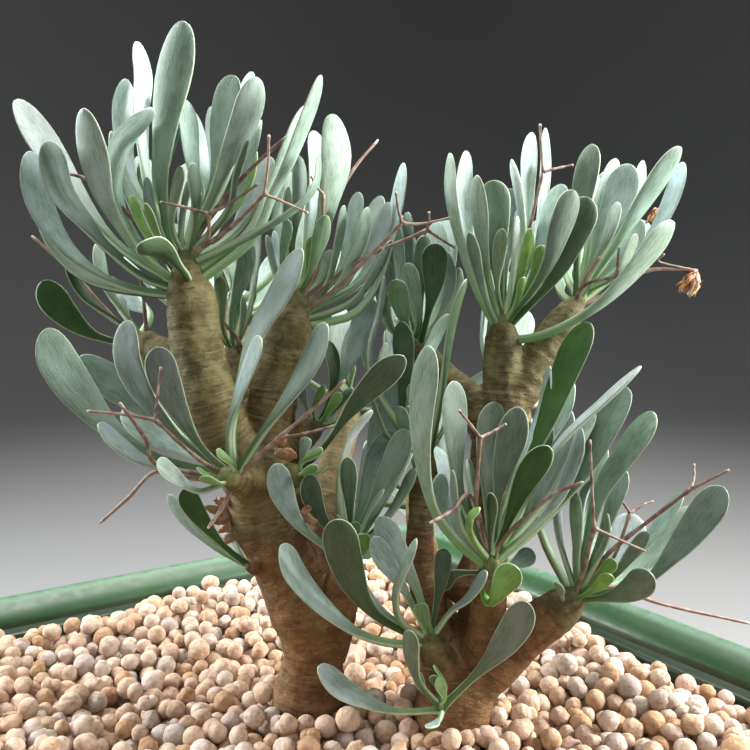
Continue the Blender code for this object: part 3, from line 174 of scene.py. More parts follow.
# Leaves in sight: how many mm the tip is nearer than the foot, the width shown in pixels, then the midrib's
# places in the photograph from tip to foot
LEAVES = {
    "crown_left": (
        (6, 36, (184, 21), (176, 60), (168, 100), (163, 140), (162, 185), (170, 240), (188, 285)),
        (14, 30, (84, 108), (92, 150), (103, 195), (123, 230), (145, 258), (188, 290)),
        (10, 29, (47, 141), (60, 190), (85, 222), (110, 250), (145, 278), (184, 292)),
        (4, 30, (30, 151), (40, 205), (66, 248), (100, 275), (140, 290), (184, 296)),
        (-8, 30, (18, 99), (48, 150), (85, 205), (125, 250), (180, 290)),
        (8, 24, (152, 108), (133, 127), (118, 150), (114, 185), (128, 225), (165, 275), (188, 285)),
        (8, 30, (257, 77), (246, 118), (226, 163), (207, 205), (199, 250)),
        (8, 15, (321, 75), (312, 105), (290, 160), (272, 195), (250, 240), (212, 284)),
        (0, 15, (306, 106), (290, 145), (270, 190), (244, 236), (208, 276)),
        (-6, 20, (140, 43), (143, 80), (141, 120), (152, 200), (182, 268)),
        (-12, 24, (128, 80), (122, 120), (132, 180), (178, 268)),
        (-4, 27, (232, 75), (222, 125), (212, 185), (204, 250)),
        (-14, 20, (250, 72), (240, 120), (222, 185), (208, 250)),
        (26, 24, (140, 243), (164, 252), (186, 274), (196, 290)),
        (4, 7, (319, 152), (315, 185), (298, 206), (270, 224), (232, 243), (212, 262)),
        (-10, 20, (186, 100), (190, 150), (196, 200), (204, 252)),
        (-4, 18, (192, 110), (200, 155), (206, 200), (206, 248)),
        (-8, 13, (209, 108), (212, 170), (208, 244)),
        (10, 14, (192, 163), (196, 205), (200, 258)),
        (8, 8, (190, 178), (183, 212), (182, 246), (194, 276)),
        (-6, 10, (261, 120), (250, 158), (230, 208), (212, 254)),
        (2, 8, (247, 140), (236, 175), (226, 212), (210, 254)),
        (-10, 13, (254, 150), (240, 200), (214, 252)),
        (4, 12, (147, 177), (152, 212), (172, 255), (192, 280)),
        (8, 10, (146, 203), (160, 240), (190, 280)),
        (2, 11, (131, 196), (146, 232), (186, 282)),
        (0, 10, (145, 150), (141, 185), (152, 230), (188, 278)),
        (-12, 15, (38, 208), (58, 252), (100, 284), (184, 300)),
        (-14, 14, (113, 132), (120, 172), (148, 235), (184, 278)),
    ),
    "crown_mid": (
        (4, 30, (332, 114), (337, 160), (328, 205), (313, 265), (298, 316)),
        (-4, 14, (403, 163), (398, 200), (389, 242), (376, 285), (348, 316), (300, 326)),
        (-4, 17, (358, 192), (351, 235), (335, 278), (302, 316)),
        (-6, 18, (388, 202), (378, 240), (358, 282), (300, 322)),
        (-6, 20, (315, 131), (317, 172), (310, 230), (300, 296)),
        (-10, 14, (368, 207), (358, 250), (330, 295), (298, 322)),
        (-16, 20, (379, 196), (368, 232), (340, 290), (298, 322)),
        (-8, 16, (300, 156), (298, 200), (292, 250), (296, 300)),
        (0, 10, (344, 205), (339, 240), (324, 288), (300, 316)),
        (6, 12, (312, 236), (309, 262), (300, 298)),
        (-4, 10, (288, 186), (287, 230), (294, 296)),
        (2, 10, (391, 240), (374, 275), (348, 304), (298, 324)),
        (0, 8, (267, 235), (274, 268), (290, 316)),
        (-6, 9, (275, 231), (277, 260), (292, 306)),
        (-3, 9, (283, 229), (284, 260), (296, 296)),
    ),
    "low_left": (
        (4, 42, (47, 328), (58, 362), (86, 402), (115, 432), (158, 458), (220, 470)),
        (-2, 28, (128, 320), (128, 358), (143, 393), (165, 420), (190, 446), (220, 466)),
        (4, 33, (157, 347), (164, 378), (180, 412), (200, 446), (220, 464)),
        (8, 25, (302, 249), (280, 293), (256, 333), (241, 380), (231, 430), (222, 468)),
        (12, 16, (261, 338), (250, 365), (237, 400), (228, 436), (220, 466)),
        (12, 23, (327, 324), (311, 362), (286, 400), (260, 436), (222, 470)),
        (8, 18, (98, 424), (116, 442), (142, 460), (176, 470), (222, 472)),
        (14, 18, (157, 462), (176, 477), (198, 491), (216, 486), (228, 474)),
    ),
    "mid_low": (
        (6, 26, (275, 464), (283, 495), (300, 525), (325, 546), (346, 562)),
        (0, 22, (309, 474), (313, 500), (328, 528), (348, 556)),
        (2, 18, (347, 457), (349, 490), (350, 545)),
        (4, 10, (371, 410), (354, 432), (344, 458), (340, 492), (348, 550)),
        (-6, 25, (406, 429), (394, 462), (374, 500), (350, 548)),
        (-12, 24, (391, 431), (376, 462), (363, 502), (350, 548)),
        (-14, 13, (367, 443), (366, 468), (359, 502), (350, 545)),
        (-2, 7, (384, 489), (370, 511), (352, 544)),
        (-4, 12, (415, 468), (404, 492), (386, 518), (352, 552)),
        (10, 18, (360, 534), (363, 549), (352, 566)),
    ),
    "mid_notch": (
        (-2, 14, (328, 341), (334, 368), (330, 396), (314, 424)),
        (-8, 26, (372, 298), (361, 332), (344, 372), (314, 424)),
        (-4, 10, (300, 380), (304, 400), (311, 426)),
        (2, 9, (352, 388), (338, 402), (312, 426)),
    ),
    "mid_twin": (
        (8, 28, (404, 356), (384, 374), (352, 408), (325, 445), (298, 472)),
        (0, 12, (307, 437), (303, 454), (298, 471)),
    ),
    "shoulder": (
        (4, 31, (42, 281), (60, 308), (88, 332), (118, 342), (142, 342)),
        (-8, 14, (98, 243), (106, 285), (140, 340)),
        (-6, 12, (118, 295), (127, 318), (144, 343)),
        (4, 11, (66, 262), (88, 300), (142, 341)),
    ),
    "cleft": (
        (-2, 20, (249, 240), (244, 272), (231, 312), (235, 348)),
        (-6, 10, (257, 215), (256, 260), (248, 312), (235, 344)),
        (2, 7, (243, 296), (243, 318), (235, 350)),
    ),
    "trunk_tuft": (
        (2, 22, (183, 489), (198, 515), (224, 546), (250, 566)),
        (-4, 14, (168, 495), (188, 522), (216, 548), (250, 567)),
        (-6, 12, (222, 524), (236, 546), (246, 562)),
    ),
    "foot": (
        (6, 33, (527, 602), (515, 628), (492, 658), (464, 686), (441, 708)),
        (8, 18, (412, 631), (411, 656), (419, 682), (440, 707)),
        (6, 24, (318, 667), (338, 685), (360, 698), (396, 711), (440, 710)),
        (14, 10, (429, 728), (439, 719), (442, 710)),
    ),
    "low_mid": (
        (6, 25, (281, 545), (296, 575), (321, 604), (357, 632), (394, 643), (431, 638)),
        (10, 38, (338, 519), (343, 553), (359, 594), (386, 622), (430, 640)),
        (-2, 25, (378, 517), (390, 537), (405, 566), (418, 592), (428, 630)),
        (4, 22, (372, 538), (385, 560), (402, 586), (416, 612), (429, 632)),
        (14, 11, (417, 541), (403, 570), (396, 596), (403, 622), (430, 640)),
        (-2, 18, (444, 548), (441, 580), (436, 606), (428, 632)),
        (-4, 12, (487, 572), (468, 598), (450, 612), (429, 634)),
    ),
    "mid_back": (
        (-2, 22, (401, 321), (404, 345), (405, 380), (404, 412), (418, 460)),
        (8, 10, (466, 279), (456, 308), (447, 350), (439, 398), (418, 462)),
        (0, 14, (449, 314), (436, 338), (426, 370), (417, 455)),
        (-4, 9, (385, 275), (380, 310), (370, 345), (372, 376), (386, 404), (418, 458)),
        (-8, 9, (364, 335), (367, 362), (386, 392), (416, 455)),
        (-6, 20, (410, 408), (412, 425), (418, 460)),
    ),
    "back": (
        (6, 27, (435, 243), (433, 288), (424, 345)),
        (0, 18, (425, 235), (420, 280), (423, 345)),
        (-2, 14, (408, 212), (408, 250), (414, 300), (424, 345)),
        (-4, 14, (397, 222), (400, 262), (410, 312), (424, 348)),
        (-4, 14, (447, 252), (449, 292), (426, 348)),
        (-10, 12, (458, 268), (455, 302), (426, 350)),
        (2, 8, (390, 238), (392, 272), (402, 314), (424, 350)),
    ),
    "front_right": (
        (6, 28, (430, 346), (421, 400), (421, 452), (433, 506), (456, 540), (490, 566)),
        (2, 26, (453, 381), (455, 430), (458, 482), (470, 520), (490, 562)),
        (0, 31, (519, 407), (511, 440), (500, 484), (491, 556)),
        (8, 28, (549, 446), (527, 478), (509, 518), (492, 562)),
        (-4, 34, (627, 387), (602, 428), (577, 478), (542, 522), (494, 560)),
        (-6, 27, (496, 402), (488, 440), (487, 500), (491, 552)),
        (-8, 30, (588, 322), (575, 350), (560, 386), (544, 428), (518, 486), (492, 552)),
        (-4, 10, (641, 366), (602, 402), (560, 442), (520, 504), (492, 556)),
        (-10, 16, (574, 384), (564, 412), (545, 442), (514, 500), (492, 554)),
        (-2, 20, (551, 427), (536, 460), (515, 505), (492, 556)),
        (-8, 17, (594, 412), (572, 450), (545, 500), (494, 558)),
        (0, 16, (580, 427), (574, 462), (550, 510), (494, 560)),
        (22, 27, (511, 566), (500, 580), (490, 576)),
        (-4, 20, (534, 552), (516, 563), (491, 570)),
        (-2, 18, (441, 473), (440, 506), (455, 540), (489, 566)),
        (4, 8, (453, 470), (455, 500), (464, 532), (489, 560)),
        (6, 8, (462, 507), (466, 530), (489, 564)),
        (12, 9, (478, 518), (470, 516), (471, 532), (489, 558)),
        (6, 12, (492, 493), (492, 522), (492, 558)),
        (-2, 10, (468, 459), (474, 500), (490, 556)),
        (-6, 16, (440, 588), (456, 574), (490, 570)),
        (-14, 12, (549, 366), (544, 405), (518, 470), (492, 550)),
    ),
    "low_right": (
        (4, 27, (654, 412), (626, 450), (602, 488), (590, 535), (576, 594)),
        (4, 36, (724, 487), (700, 520), (672, 555), (640, 584), (574, 596)),
        (14, 32, (652, 574), (630, 590), (604, 598), (572, 598)),
        (0, 20, (624, 468), (613, 502), (600, 542), (576, 594)),
        (2, 15, (647, 531), (630, 556), (608, 580), (574, 598)),
        (-8, 34, (634, 514), (622, 545), (600, 575), (574, 596)),
        (-4, 16, (682, 493), (656, 530), (622, 566), (574, 596)),
        (4, 14, (576, 492), (576, 530), (576, 592)),
        (-4, 13, (606, 446), (597, 482), (588, 535), (577, 592)),
        (-6, 11, (590, 480), (580, 510), (577, 592)),
        (6, 7, (608, 514), (605, 545), (578, 596)),
        (8, 15, (615, 560), (600, 576), (574, 597)),
        (12, 15, (610, 574), (597, 588), (572, 600)),
        (4, 10, (558, 585), (562, 598), (570, 602)),
        (-6, 10, (556, 500), (560, 540), (576, 594)),
    ),
    "crown_right": (
        (4, 33, (494, 180), (495, 238), (499, 288), (504, 338)),
        (4, 33, (588, 197), (571, 240), (550, 282), (506, 332)),
        (6, 22, (674, 222), (642, 262), (608, 297), (572, 321), (536, 336), (504, 340)),
        (-2, 25, (574, 190), (560, 230), (545, 270), (507, 328)),
        (0, 13, (450, 153), (451, 200), (463, 250), (480, 295), (505, 336)),
        (-4, 18, (467, 151), (463, 200), (472, 252), (505, 332)),
        (-2, 18, (477, 175), (480, 222), (489, 278), (506, 330)),
        (4, 13, (470, 232), (476, 264), (489, 305), (505, 336)),
        (-8, 17, (530, 133), (529, 180), (524, 240), (508, 318)),
        (-8, 12, (545, 128), (545, 180), (535, 240), (508, 318)),
        (-10, 26, (561, 184), (549, 230), (530, 285), (508, 320)),
        (-6, 10, (511, 160), (520, 198), (522, 250), (508, 316)),
        (4, 13, (530, 228), (525, 258), (508, 322)),
        (4, 17, (542, 245), (535, 278), (507, 326)),
        (2, 8, (511, 215), (506, 260), (506, 328)),
        (-2, 8, (517, 216), (514, 262), (507, 326)),
        (-6, 14, (520, 208), (520, 250), (508, 318)),
        (8, 9, (523, 277), (518, 298), (507, 326)),
    ),
    "crown_far_right": (
        (-4, 33, (630, 164), (614, 208), (597, 250), (574, 304)),
        (4, 21, (681, 147), (652, 190), (622, 234), (594, 274), (572, 306)),
        (-4, 25, (592, 144), (583, 190), (578, 240), (574, 300)),
        (-6, 18, (682, 162), (670, 202), (650, 238), (614, 274), (572, 306)),
        (-10, 19, (618, 160), (602, 200), (590, 244), (574, 300)),
        (-8, 15, (644, 161), (634, 196), (612, 245), (574, 302)),
        (2, 14, (617, 202), (606, 240), (575, 300)),
        (-8, 20, (640, 219), (628, 248), (574, 306)),
        (-14, 16, (599, 178), (592, 220), (577, 292)),
    ),
}

# Leaves out of sight, by the golden angle: how many for each rosette
FAR_LEAVES = {
    "crown_left": 5,
    "crown_mid": 5,
    "low_left": 3,
    "mid_low": 2,
    "shoulder": 3,
    "cleft": 3,
    "low_mid": 2,
    "back": 5,
    "front_right": 3,
    "low_right": 4,
    "crown_right": 5,
    "crown_far_right": 4,
    "far_left": 7,
    "far_mid": 6,
    "far_right": 7,
    "far_low": 6,
}

# Dry stalks: the rosette that holds each, how many mm nearer its end is, its places, then its arms
STALKS = (
    ("crown_left", 6, ((203, 262), (207, 240), (209, 214)),
     ((184, 207), (160, 202)), ((230, 203), (258, 184))),
    ("crown_left", 8, ((205, 256), (230, 228), (264, 194)),
     ((268, 165), (269, 135)), ((286, 203), (308, 213))),
    ("crown_left", -6, ((205, 254), (212, 215), (245, 175), (286, 137))),
    ("crown_left", 0, ((196, 290), (120, 205), (84, 178), (46, 172))),
    ("shoulder", 4, ((144, 343), (118, 322), (72, 272), (32, 236))),
    ("shoulder", 0, ((144, 342), (146, 325), (140, 270))),
    ("crown_mid", 6, ((298, 318), (312, 278), (322, 240), (323, 194)), ((316, 186), (311, 176))),
    ("crown_mid", -8, ((296, 322), (325, 230), (350, 175), (378, 140))),
    ("crown_mid", 8, ((298, 322), (340, 285), (402, 223)),
     ((398, 208), (396, 192)), ((420, 224), (450, 218))),
    ("crown_mid", 4, ((300, 320), (350, 266), (427, 230)),
     ((429, 222), (429, 212)), ((442, 240), (455, 248))),
    ("low_left", 4, ((230, 474), (200, 460), (155, 420)), ((128, 415), (87, 411)), ((158, 392), (161, 367))),
    ("low_left", 6, ((232, 478), (188, 478), (155, 472), (128, 498), (100, 523))),
    ("low_left", 10, ((232, 476), (160, 466), (145, 438), (120, 403))),
    ("low_left", 8, ((236, 476), (256, 458), (278, 438)), ((312, 410), (345, 380)), ((302, 434), (334, 426))),
    ("low_left", 10, ((238, 478), (222, 508), (208, 528))),
    ("crown_right", 0, ((508, 318), (522, 262), (532, 218), (543, 172)),
     ((541, 148), (540, 124)), ((558, 168), (573, 165))),
    ("crown_far_right", 6, ((574, 302), (562, 290), (571, 270), (598, 256))),
    ("crown_far_right", 6, ((573, 306), (585, 285), (617, 276)),
     ((618, 260), (619, 247)), ((628, 274), (636, 277))),
    ("crown_far_right", -4, ((574, 308), (612, 290), (650, 270), (697, 271)), ((660, 262), (664, 254))),
    ("crown_far_right", -6, ((575, 302), (606, 262), (628, 228), (648, 222))),
    ("front_right", 8, ((490, 562), (478, 520), (477, 490), (480, 438)),
     ((470, 424), (459, 410)), ((492, 432), (506, 424))),
    ("front_right", 12, ((488, 560), (472, 496), (450, 512), (430, 523))),
    ("front_right", 10, ((492, 562), (506, 536), (550, 497), (583, 482))),
    ("low_right", 8, ((574, 598), (584, 568), (594, 528)),
     ((592, 488), (590, 440)), ((620, 540), (645, 551))),
    ("low_right", -4, ((576, 594), (612, 560), (630, 513)),
     ((624, 504), (619, 498)), ((642, 505), (653, 501))),
    ("low_right", 6, ((574, 597), (606, 556), (680, 492), (729, 470)), ((692, 474), (694, 464))),
    ("low_right", -4, ((570, 602), (608, 586), (662, 604), (752, 624))),
    ("cleft", 4, ((234, 352), (240, 344), (218, 315))),
    ("cleft", 6, ((235, 352), (262, 366), (276, 342), (256, 338))),
)
# Dry flower heads: from a stalk's end in the photograph to the head's far end, with the head's widest radius
HEADS = {
    (697, 271): ((684, 294), 2.4),
    (648, 222): ((660, 212), 1.6),
}


# From the photograph to the part

CURVE_STEPS = 8


def seen(x, y, away):
    """The point on the sight line through a pixel of the photograph, this far away, in millimetres."""
    across = (x - CENTRE) / FOCAL
    down = (y - CENTRE) / FOCAL
    ahead = math.cos(PITCH) - down * math.sin(PITCH)
    below = math.sin(PITCH) + down * math.cos(PITCH)
    reach = (away - EYE.y) / ahead
    return EYE + reach * Vector((across, ahead, -below))


def pictured(points):
    """Where points of the viewer's frame, as rows in millimetres, lie in the photograph."""
    away = points - np.array(EYE)
    deep = away[:, 1] * math.cos(PITCH) - away[:, 2] * math.sin(PITCH)
    up = away[:, 1] * math.sin(PITCH) + away[:, 2] * math.cos(PITCH)
    return np.stack([CENTRE + FOCAL * away[:, 0] / deep, CENTRE - FOCAL * up / deep], axis=1)


def pixel_size(away):
    """How wide a pixel of the photograph is this far away, in millimetres."""
    return (away - EYE.y) / FOCAL


def rows_of(vectors):
    """Vectors as the rows of an array."""
    return np.array([tuple(vector) for vector in vectors], float)


def turned(rows, angle):
    """Points or directions, as rows, turned about the upright."""
    c, s = math.cos(angle), math.sin(angle)
    x, y, z = rows.T
    return np.stack([x * c - y * s, x * s + y * c, z], axis=1)


def placed(points):
    """Points of the viewer's frame, in millimetres, in the part's own frame, in metres."""
    return (turned(points, VIEW_TURN) + (0, 0, BALL_LEVEL)) / 1000


def unplaced(points):
    """Points of the part's frame, in metres, in the viewer's frame, in millimetres."""
    return turned(np.asarray(points, float) * 1000, -VIEW_TURN) - (0, 0, BALL_LEVEL)


def smooth(points, count):
    """Points spread evenly along a smooth curve through the given ones."""
    ends = [2 * points[0] - points[1]] + list(points) + [2 * points[-1] - points[-2]]
    dense = []
    for i in range(1, len(ends) - 2):
        a, b, c, d = ends[i - 1 : i + 3]
        for step in range(CURVE_STEPS):
            t = step / CURVE_STEPS
            bend = (2 * a - 5 * b + 4 * c - d) * t * t + (3 * b - a - 3 * c + d) * t**3
            dense.append(0.5 * (2 * b + (c - a) * t + bend))
    dense.append(points[-1].copy())
    return spread(dense, [k / (count - 1) for k in range(count)])


def spread(dense, shares):
    """The places along a dense line at these shares of its length."""
    lengths = [0.0]
    for a, b in zip(dense, dense[1:]):
        lengths.append(lengths[-1] + (b - a).length)
    places = []
    k = 0
    for share in shares:
        want = share * lengths[-1]
        while k < len(lengths) - 2 and lengths[k + 1] < want:
            k += 1
        part = (want - lengths[k]) / max(lengths[k + 1] - lengths[k], 1e-9)
        places.append(dense[k].lerp(dense[k + 1], part))
    return places


# Where each leaf stands: the solids' own rules, tried against the solids' corners

# A coarse leaf's rings as (share of the length, share of the width, share of the thickness)
BROAD_RINGS = ((0.0, 0.22, 0.8), (0.26, 0.27, 0.9), (0.53, 0.66, 0.95), (0.79, 1.0, 0.85), (0.95, 0.62, 0.7))
SLIM_RINGS = ((0.0, 0.25, 0.8), (0.42, 0.46, 0.9), (0.82, 1.0, 0.9))
SLIM_BELOW = 5.4
SLENDER = 0.19
MIDRIB_PLACES = 25
SHIFTS = (0, 1.5, -1.5, 3, -3, 4.5, -4.5, 6, -6, 8, -8, 10, -10, 13, -13, 16, -16)
BOWS = (0, 3, -3, 6, -6)
TRIES = 14
TURNS_A_LEAF = 8
GOLDEN_ANGLE = math.radians(137.5)
FAR_SECTOR = -0.55
FAR_BUD_SECTOR = 0.25
# How near a stem's end the foot of the bud that it carries lies, in mm
ON_STEM = 3.0
FAR_SEED = 40
# How near a corner of the solids counts as the leaf's own, in mm, and how many must be
CORNER_REACH = 0.04
CORNERS_FOUND = 3


def width_across(tangent, view, side, tilt):
    """The direction of a leaf's width at one place: across the sight line, turned out of it by the tilt."""
    flat = tangent.cross(view).normalized()
    deep = tangent.cross(flat)
    return flat * math.cos(tilt) + deep * (side * math.sin(tilt))


def coarse_corners(leaf):
    """The corners of the leaf's solid beyond its foot, in millimetres."""
    plan = SLIM_RINGS if leaf["width"] < SLIM_BELOW or leaf["hidden"] else BROAD_RINGS
    spots = spread(leaf["midrib"], [ring[0] for ring in plan] + [1.0])
    corners = [spots[-1]]
    for i, (_, wide, deep) in enumerate(plan):
        if i == 0:
            continue
        tangent = (spots[i + 1] - spots[i - 1]).normalized()
        across = leaf["across"](tangent, spots[i])
        normal = tangent.cross(across).normalized()
        half = wide * leaf["width"] / 2
        keel = deep * leaf["thick"]
        face = spots[i] + normal * (leaf["upper"] * keel * 0.35)
        back = spots[i] - normal * (leaf["upper"] * keel * 0.65)
        corners += [face + across * half, face - across * half, back]
    return corners


def bud_line(name):
    """A rosette's bud as its foot, its top and its two radii, in millimetres."""
    if name in FAR_BUDS:
        foot, top, wide, narrow = FAR_BUDS[name]
        return Vector(foot), Vector(top), wide, narrow
    foot, top, wide, narrow = BUDS[name]
    return seen(*foot), seen(*top), wide, narrow


def stem_path(points, in_photo):
    """A stem's points in millimetres and its radii."""
    if in_photo:
        return [seen(x, y, away) for x, y, away, _ in points], [p[3] for p in points]
    return [Vector(p[:3]) for p in points], [p[3] for p in points]


STEMS = [stem_path(points, True) for points in TRUNK_LEFT + TRUNK_RIGHT]
STEMS += [stem_path(points, False) for points in FAR_LEFT + FAR_RIGHT]
headings = {}


def stem_end_direction(name):
    """The direction of the stem that ends under a bud."""
    if name not in headings:
        foot, top, _, _ = bud_line(name)
        path = min((path for path, _ in STEMS), key=lambda path: (path[-1] - foot).length)
        headings[name] = (top - foot).normalized()
        if (path[-1] - foot).length < ON_STEM:
            fine = smooth(path, len(path))
            headings[name] = (fine[-1] - fine[-2]).normalized()
    return headings[name]


def on_bud(name, point):
    """The place on a bud's axis nearest a point, kept off the bud's ends."""
    foot, top, _, _ = bud_line(name)
    axis = stem_end_direction(name) * (top - foot).length
    share = (point - foot).dot(axis) / axis.length_squared
    low = min(1.6 / axis.length, 0.4)
    return foot + axis * min(max(share, low), 0.92)


def seen_leaf(name, near, shown, places, shift=0.0, bow=0.0):
    """A leaf of the photograph, whose tip may be shifted along its sight line to clear what is near."""
    foot, top, _, _ = bud_line(name)
    away = foot.y + (top.y - foot.y) * 0.5
    steps = [0.0]
    for a, b in zip(places, places[1:]):
        steps.append(steps[-1] + math.hypot(b[0] - a[0], b[1] - a[1]))
    knots = []
    for place, step in zip(places, steps):
        share = 1 - step / steps[-1]
        lean = -(near + shift) * share**1.15 + bow * 4 * share * (1 - share)
        knots.append(seen(*place, away + lean))
    knots.reverse()
    knots[0] = on_bud(name, knots[0])
    midrib = smooth(knots, MIDRIB_PLACES)
    length = sum((b - a).length for a, b in zip(midrib, midrib[1:]))
    wide = shown * pixel_size(away - near)
    width = max(min(LEAF_WIDTH, SLENDER * length), wide)
    tilt = math.acos(min(wide / width, 1.0))
    axis = (top - foot).normalized()
    half = MIDRIB_PLACES // 2
    out = midrib[half] - on_bud(name, midrib[half])
    tangent = (midrib[half + 1] - midrib[half - 1]).normalized()
    view = (midrib[half] - EYE).normalized()
    natural = axis.cross(out)
    turned = [width_across(tangent, view, side, tilt) for side in (1, -1)]
    side = 1 if abs(turned[0].dot(natural)) >= abs(turned[1].dot(natural)) else -1
    thick = LEAF_THICK * min(1.0, 0.45 + 0.55 * width / LEAF_WIDTH)
    lifted = tangent.cross(turned[0 if side == 1 else 1]).dot(axis - out.normalized() * 0.5) > 0
    return {
        "midrib": midrib,
        "knots": knots,
        "length": length,
        "across": lambda along, spot: width_across(along, (spot - EYE).normalized(), side, tilt),
        "width": width,
        "thick": thick,
        "upper": 1 if lifted else -1,
        "shown": shown,
        "hidden": False,
    }


def far_leaf(name, turn, rise, length, width):
    """A leaf out of sight: it leaves the bud sideways and bends up along the bud."""
    foot, top, _, _ = bud_line(name)
    axis = (top - foot).normalized()
    side = axis.cross(Vector((0, -1, 0.01))).normalized()
    front = side.cross(axis)
    out = side * math.cos(turn) + front * math.sin(turn)
    start = on_bud(name, foot.lerp(top, 0.35 + 0.4 * rise))
    low = out * math.cos(rise * 0.7) + axis * math.sin(rise * 0.7)
    high = out * math.cos(rise + 0.35) + axis * math.sin(rise + 0.35)
    elbow = start + low * length * 0.45
    knots = [start, elbow, elbow + high * length * 0.55]
    flat = axis.cross(out).normalized()
    return {
        "midrib": smooth(knots, MIDRIB_PLACES),
        "knots": knots,
        "length": length,
        "across": lambda along, spot: (flat - along * flat.dot(along)).normalized(),
        "width": width,
        "thick": LEAF_THICK,
        "upper": 1 if high.cross(flat).dot(axis) > 0 else -1,
        "shown": None,
        "hidden": True,
    }


def tree_of(points):
    """The points in a tree that finds the nearest."""
    tree = KDTree(len(points))
    for i, point in enumerate(points):
        tree.insert(point, i)
    tree.balance()
    return tree


def corner_tree(name):
    """A solid's corners in the viewer's frame."""
    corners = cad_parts["leaves_" + name].data.vertices
    return tree_of(unplaced(rows_of(corner.co for corner in corners)))


def built(tree, choices):
    """The choice whose corners the solid has, or None."""
    best, most = None, CORNERS_FOUND - 1
    for choice in choices:
        corners = coarse_corners(choice)
        found = sum(tree.find(corner)[2] < CORNER_REACH for corner in corners)
        if found > most:
            best, most = choice, found
        if found == len(corners):
            break
    return best


# Leaves drawn finer than their solids, by the solid's tip: how near, the width shown and the places
REDRAWN_LEAVES = {
    (511, 566): (14, 29, ((517, 567), (506, 580), (491, 603), (484, 594), (486, 574))),
    (558, 585): (9, 10, ((558, 583), (562, 597), (569, 606))),
    (478, 518): (12, 10, ((480, 510), (471, 518), (471, 534), (489, 558))),
}


def standing_leaves(name, tree):
    """The rosette's leaves as the solid has them, those in sight first."""
    leaves = []
    tries = sorted(((s, b) for s in SHIFTS for b in BOWS), key=lambda t: abs(t[0]) + 1.5 * abs(t[1]))
    for near, shown, *places in LEAVES.get(name, ()):
        tip = places[0]
        if tip in REDRAWN_LEAVES:
            leaf = seen_leaf(name, *REDRAWN_LEAVES[tip])
        else:
            tried = (seen_leaf(name, near, shown, places, shift, bow) for shift, bow in tries)
            leaf = built(tree, tried) or seen_leaf(name, near, shown, places)
        leaves.append(leaf | {"key": tip})
    if name not in FAR_LEAVES:
        return leaves
    count = FAR_LEAVES[name]
    rule = random.Random(FAR_SEED + list(FAR_LEAVES).index(name))
    sector = FAR_BUD_SECTOR if name in FAR_BUDS else FAR_SECTOR
    made = 0
    for step in range(count * TURNS_A_LEAF):
        turn = step * GOLDEN_ANGLE
        if made == count or math.sin(turn) > sector:
            continue
        leaf = built(tree, far_choices(name, turn, made / count, rule))
        if leaf is not None:
            leaves.append(leaf | {"key": (name, made)})
            made += 1
    return leaves


def far_choices(name, turn, share, rule):
    """Leaves out of sight about one turn, by seeded draws; share runs from the outer leaves to the inner."""
    choices = []
    for _ in range(TRIES):
        aside = rule.uniform(-0.3, 0.3)
        rise = 0.25 + share + rule.uniform(-0.15, 0.2)
        length = (FAR_LENGTH - 8 * share) * rule.uniform(0.8, 1.05)
        choices.append(far_leaf(name, turn + aside, rise, length, rule.uniform(*FAR_WIDTHS)))
    return choices


# Meshes


class Shape:
    """Points, faces and values at the points, gathered for one piece."""

    def __init__(self):
        self.points = []
        self.faces = []
        self.values = {}
        self.count = 0

    def add(self, points, faces, **values):
        """More points and faces, with a value for each point or one for all."""
        points = np.asarray(points, float)
        self.points.append(points)
        self.faces += [tuple(i + self.count for i in face) for face in faces]
        for key, value in values.items():
            value = np.asarray(value, float)
            if len(value) != len(points):
                value = np.broadcast_to(value, (len(points),) + value.shape)
            self.values.setdefault(key, []).append(value)
        self.count += len(points)

    def tree(self):
        """What is drawn so far, to measure the room left."""
        return BVHTree.FromPolygons([tuple(p) for p in np.concatenate(self.points)], self.faces)

    def piece(self, name, paint, slot, replaced=()):
        """The piece in the part's frame, riding on the one body and kept under the solids' top."""
        points = placed(np.concatenate(self.points))
        points[:, 2] = np.minimum(points[:, 2], cad_box[1][2])
        made = mesh_object(name, points, self.faces)
        made.data.update()
        made.data.validate()
        write_values(made.data, {key: np.concatenate(parts) for key, parts in self.values.items()})
        made.data.shade_smooth()
        return settled(made, paint, replaced)


def mesh_object(name, points, faces):
    """A new object with its mesh, in the scene."""
    mesh = bpy.data.meshes.new(name)
    mesh.from_pydata(np.asarray(points).tolist(), [], faces)
    made = bpy.data.objects.new(name, mesh)
    bpy.context.scene.collection.objects.link(made)
    return made


def write_values(mesh, values):
    """Values at the points, kept on the mesh for its paint."""
    for key, value in values.items():
        kind, field = ("FLOAT_VECTOR", "vector") if value.ndim == 2 else ("FLOAT", "value")
        mesh.attributes.new(key, kind, "POINT").data.foreach_set(field, value.astype(np.float32).ravel())


def point_vectors(mesh, field):
    """A vector at each of the mesh's points, as rows."""
    values = np.empty(len(mesh.vertices) * 3, np.float32)
    mesh.vertices.foreach_get(field, values)
    return values.reshape(-1, 3)


def settled(made, paint, replaced=()):
    """A new object painted and riding on the one body."""
    made.data.materials.clear()
    made.data.materials.append(paint)
    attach(made, "root")
    if replaced:
        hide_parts(*replaced)
    return made


def applied(body):
    """The object with its modifiers made real."""
    graph = bpy.context.evaluated_depsgraph_get()
    mesh = bpy.data.meshes.new_from_object(body.evaluated_get(graph))
    body.modifiers.clear()
    body.data = mesh
    return body


def rings_to_faces(rings, around, tip=True):
    """Faces of a skin of rings, with a low cap and either a tip point or a high cap."""
    faces = [tuple(range(around))[::-1]]
    for low in range(0, (rings - 1) * around, around):
        for i in range(around):
            j = (i + 1) % around
            faces.append((low + i, low + j, low + around + j, low + around + i))
    last = (rings - 1) * around
    if tip:
        faces += [(last + i, last + (i + 1) % around, last + around) for i in range(around)]
    else:
        faces.append(tuple(range(last, last + around)))
    return faces


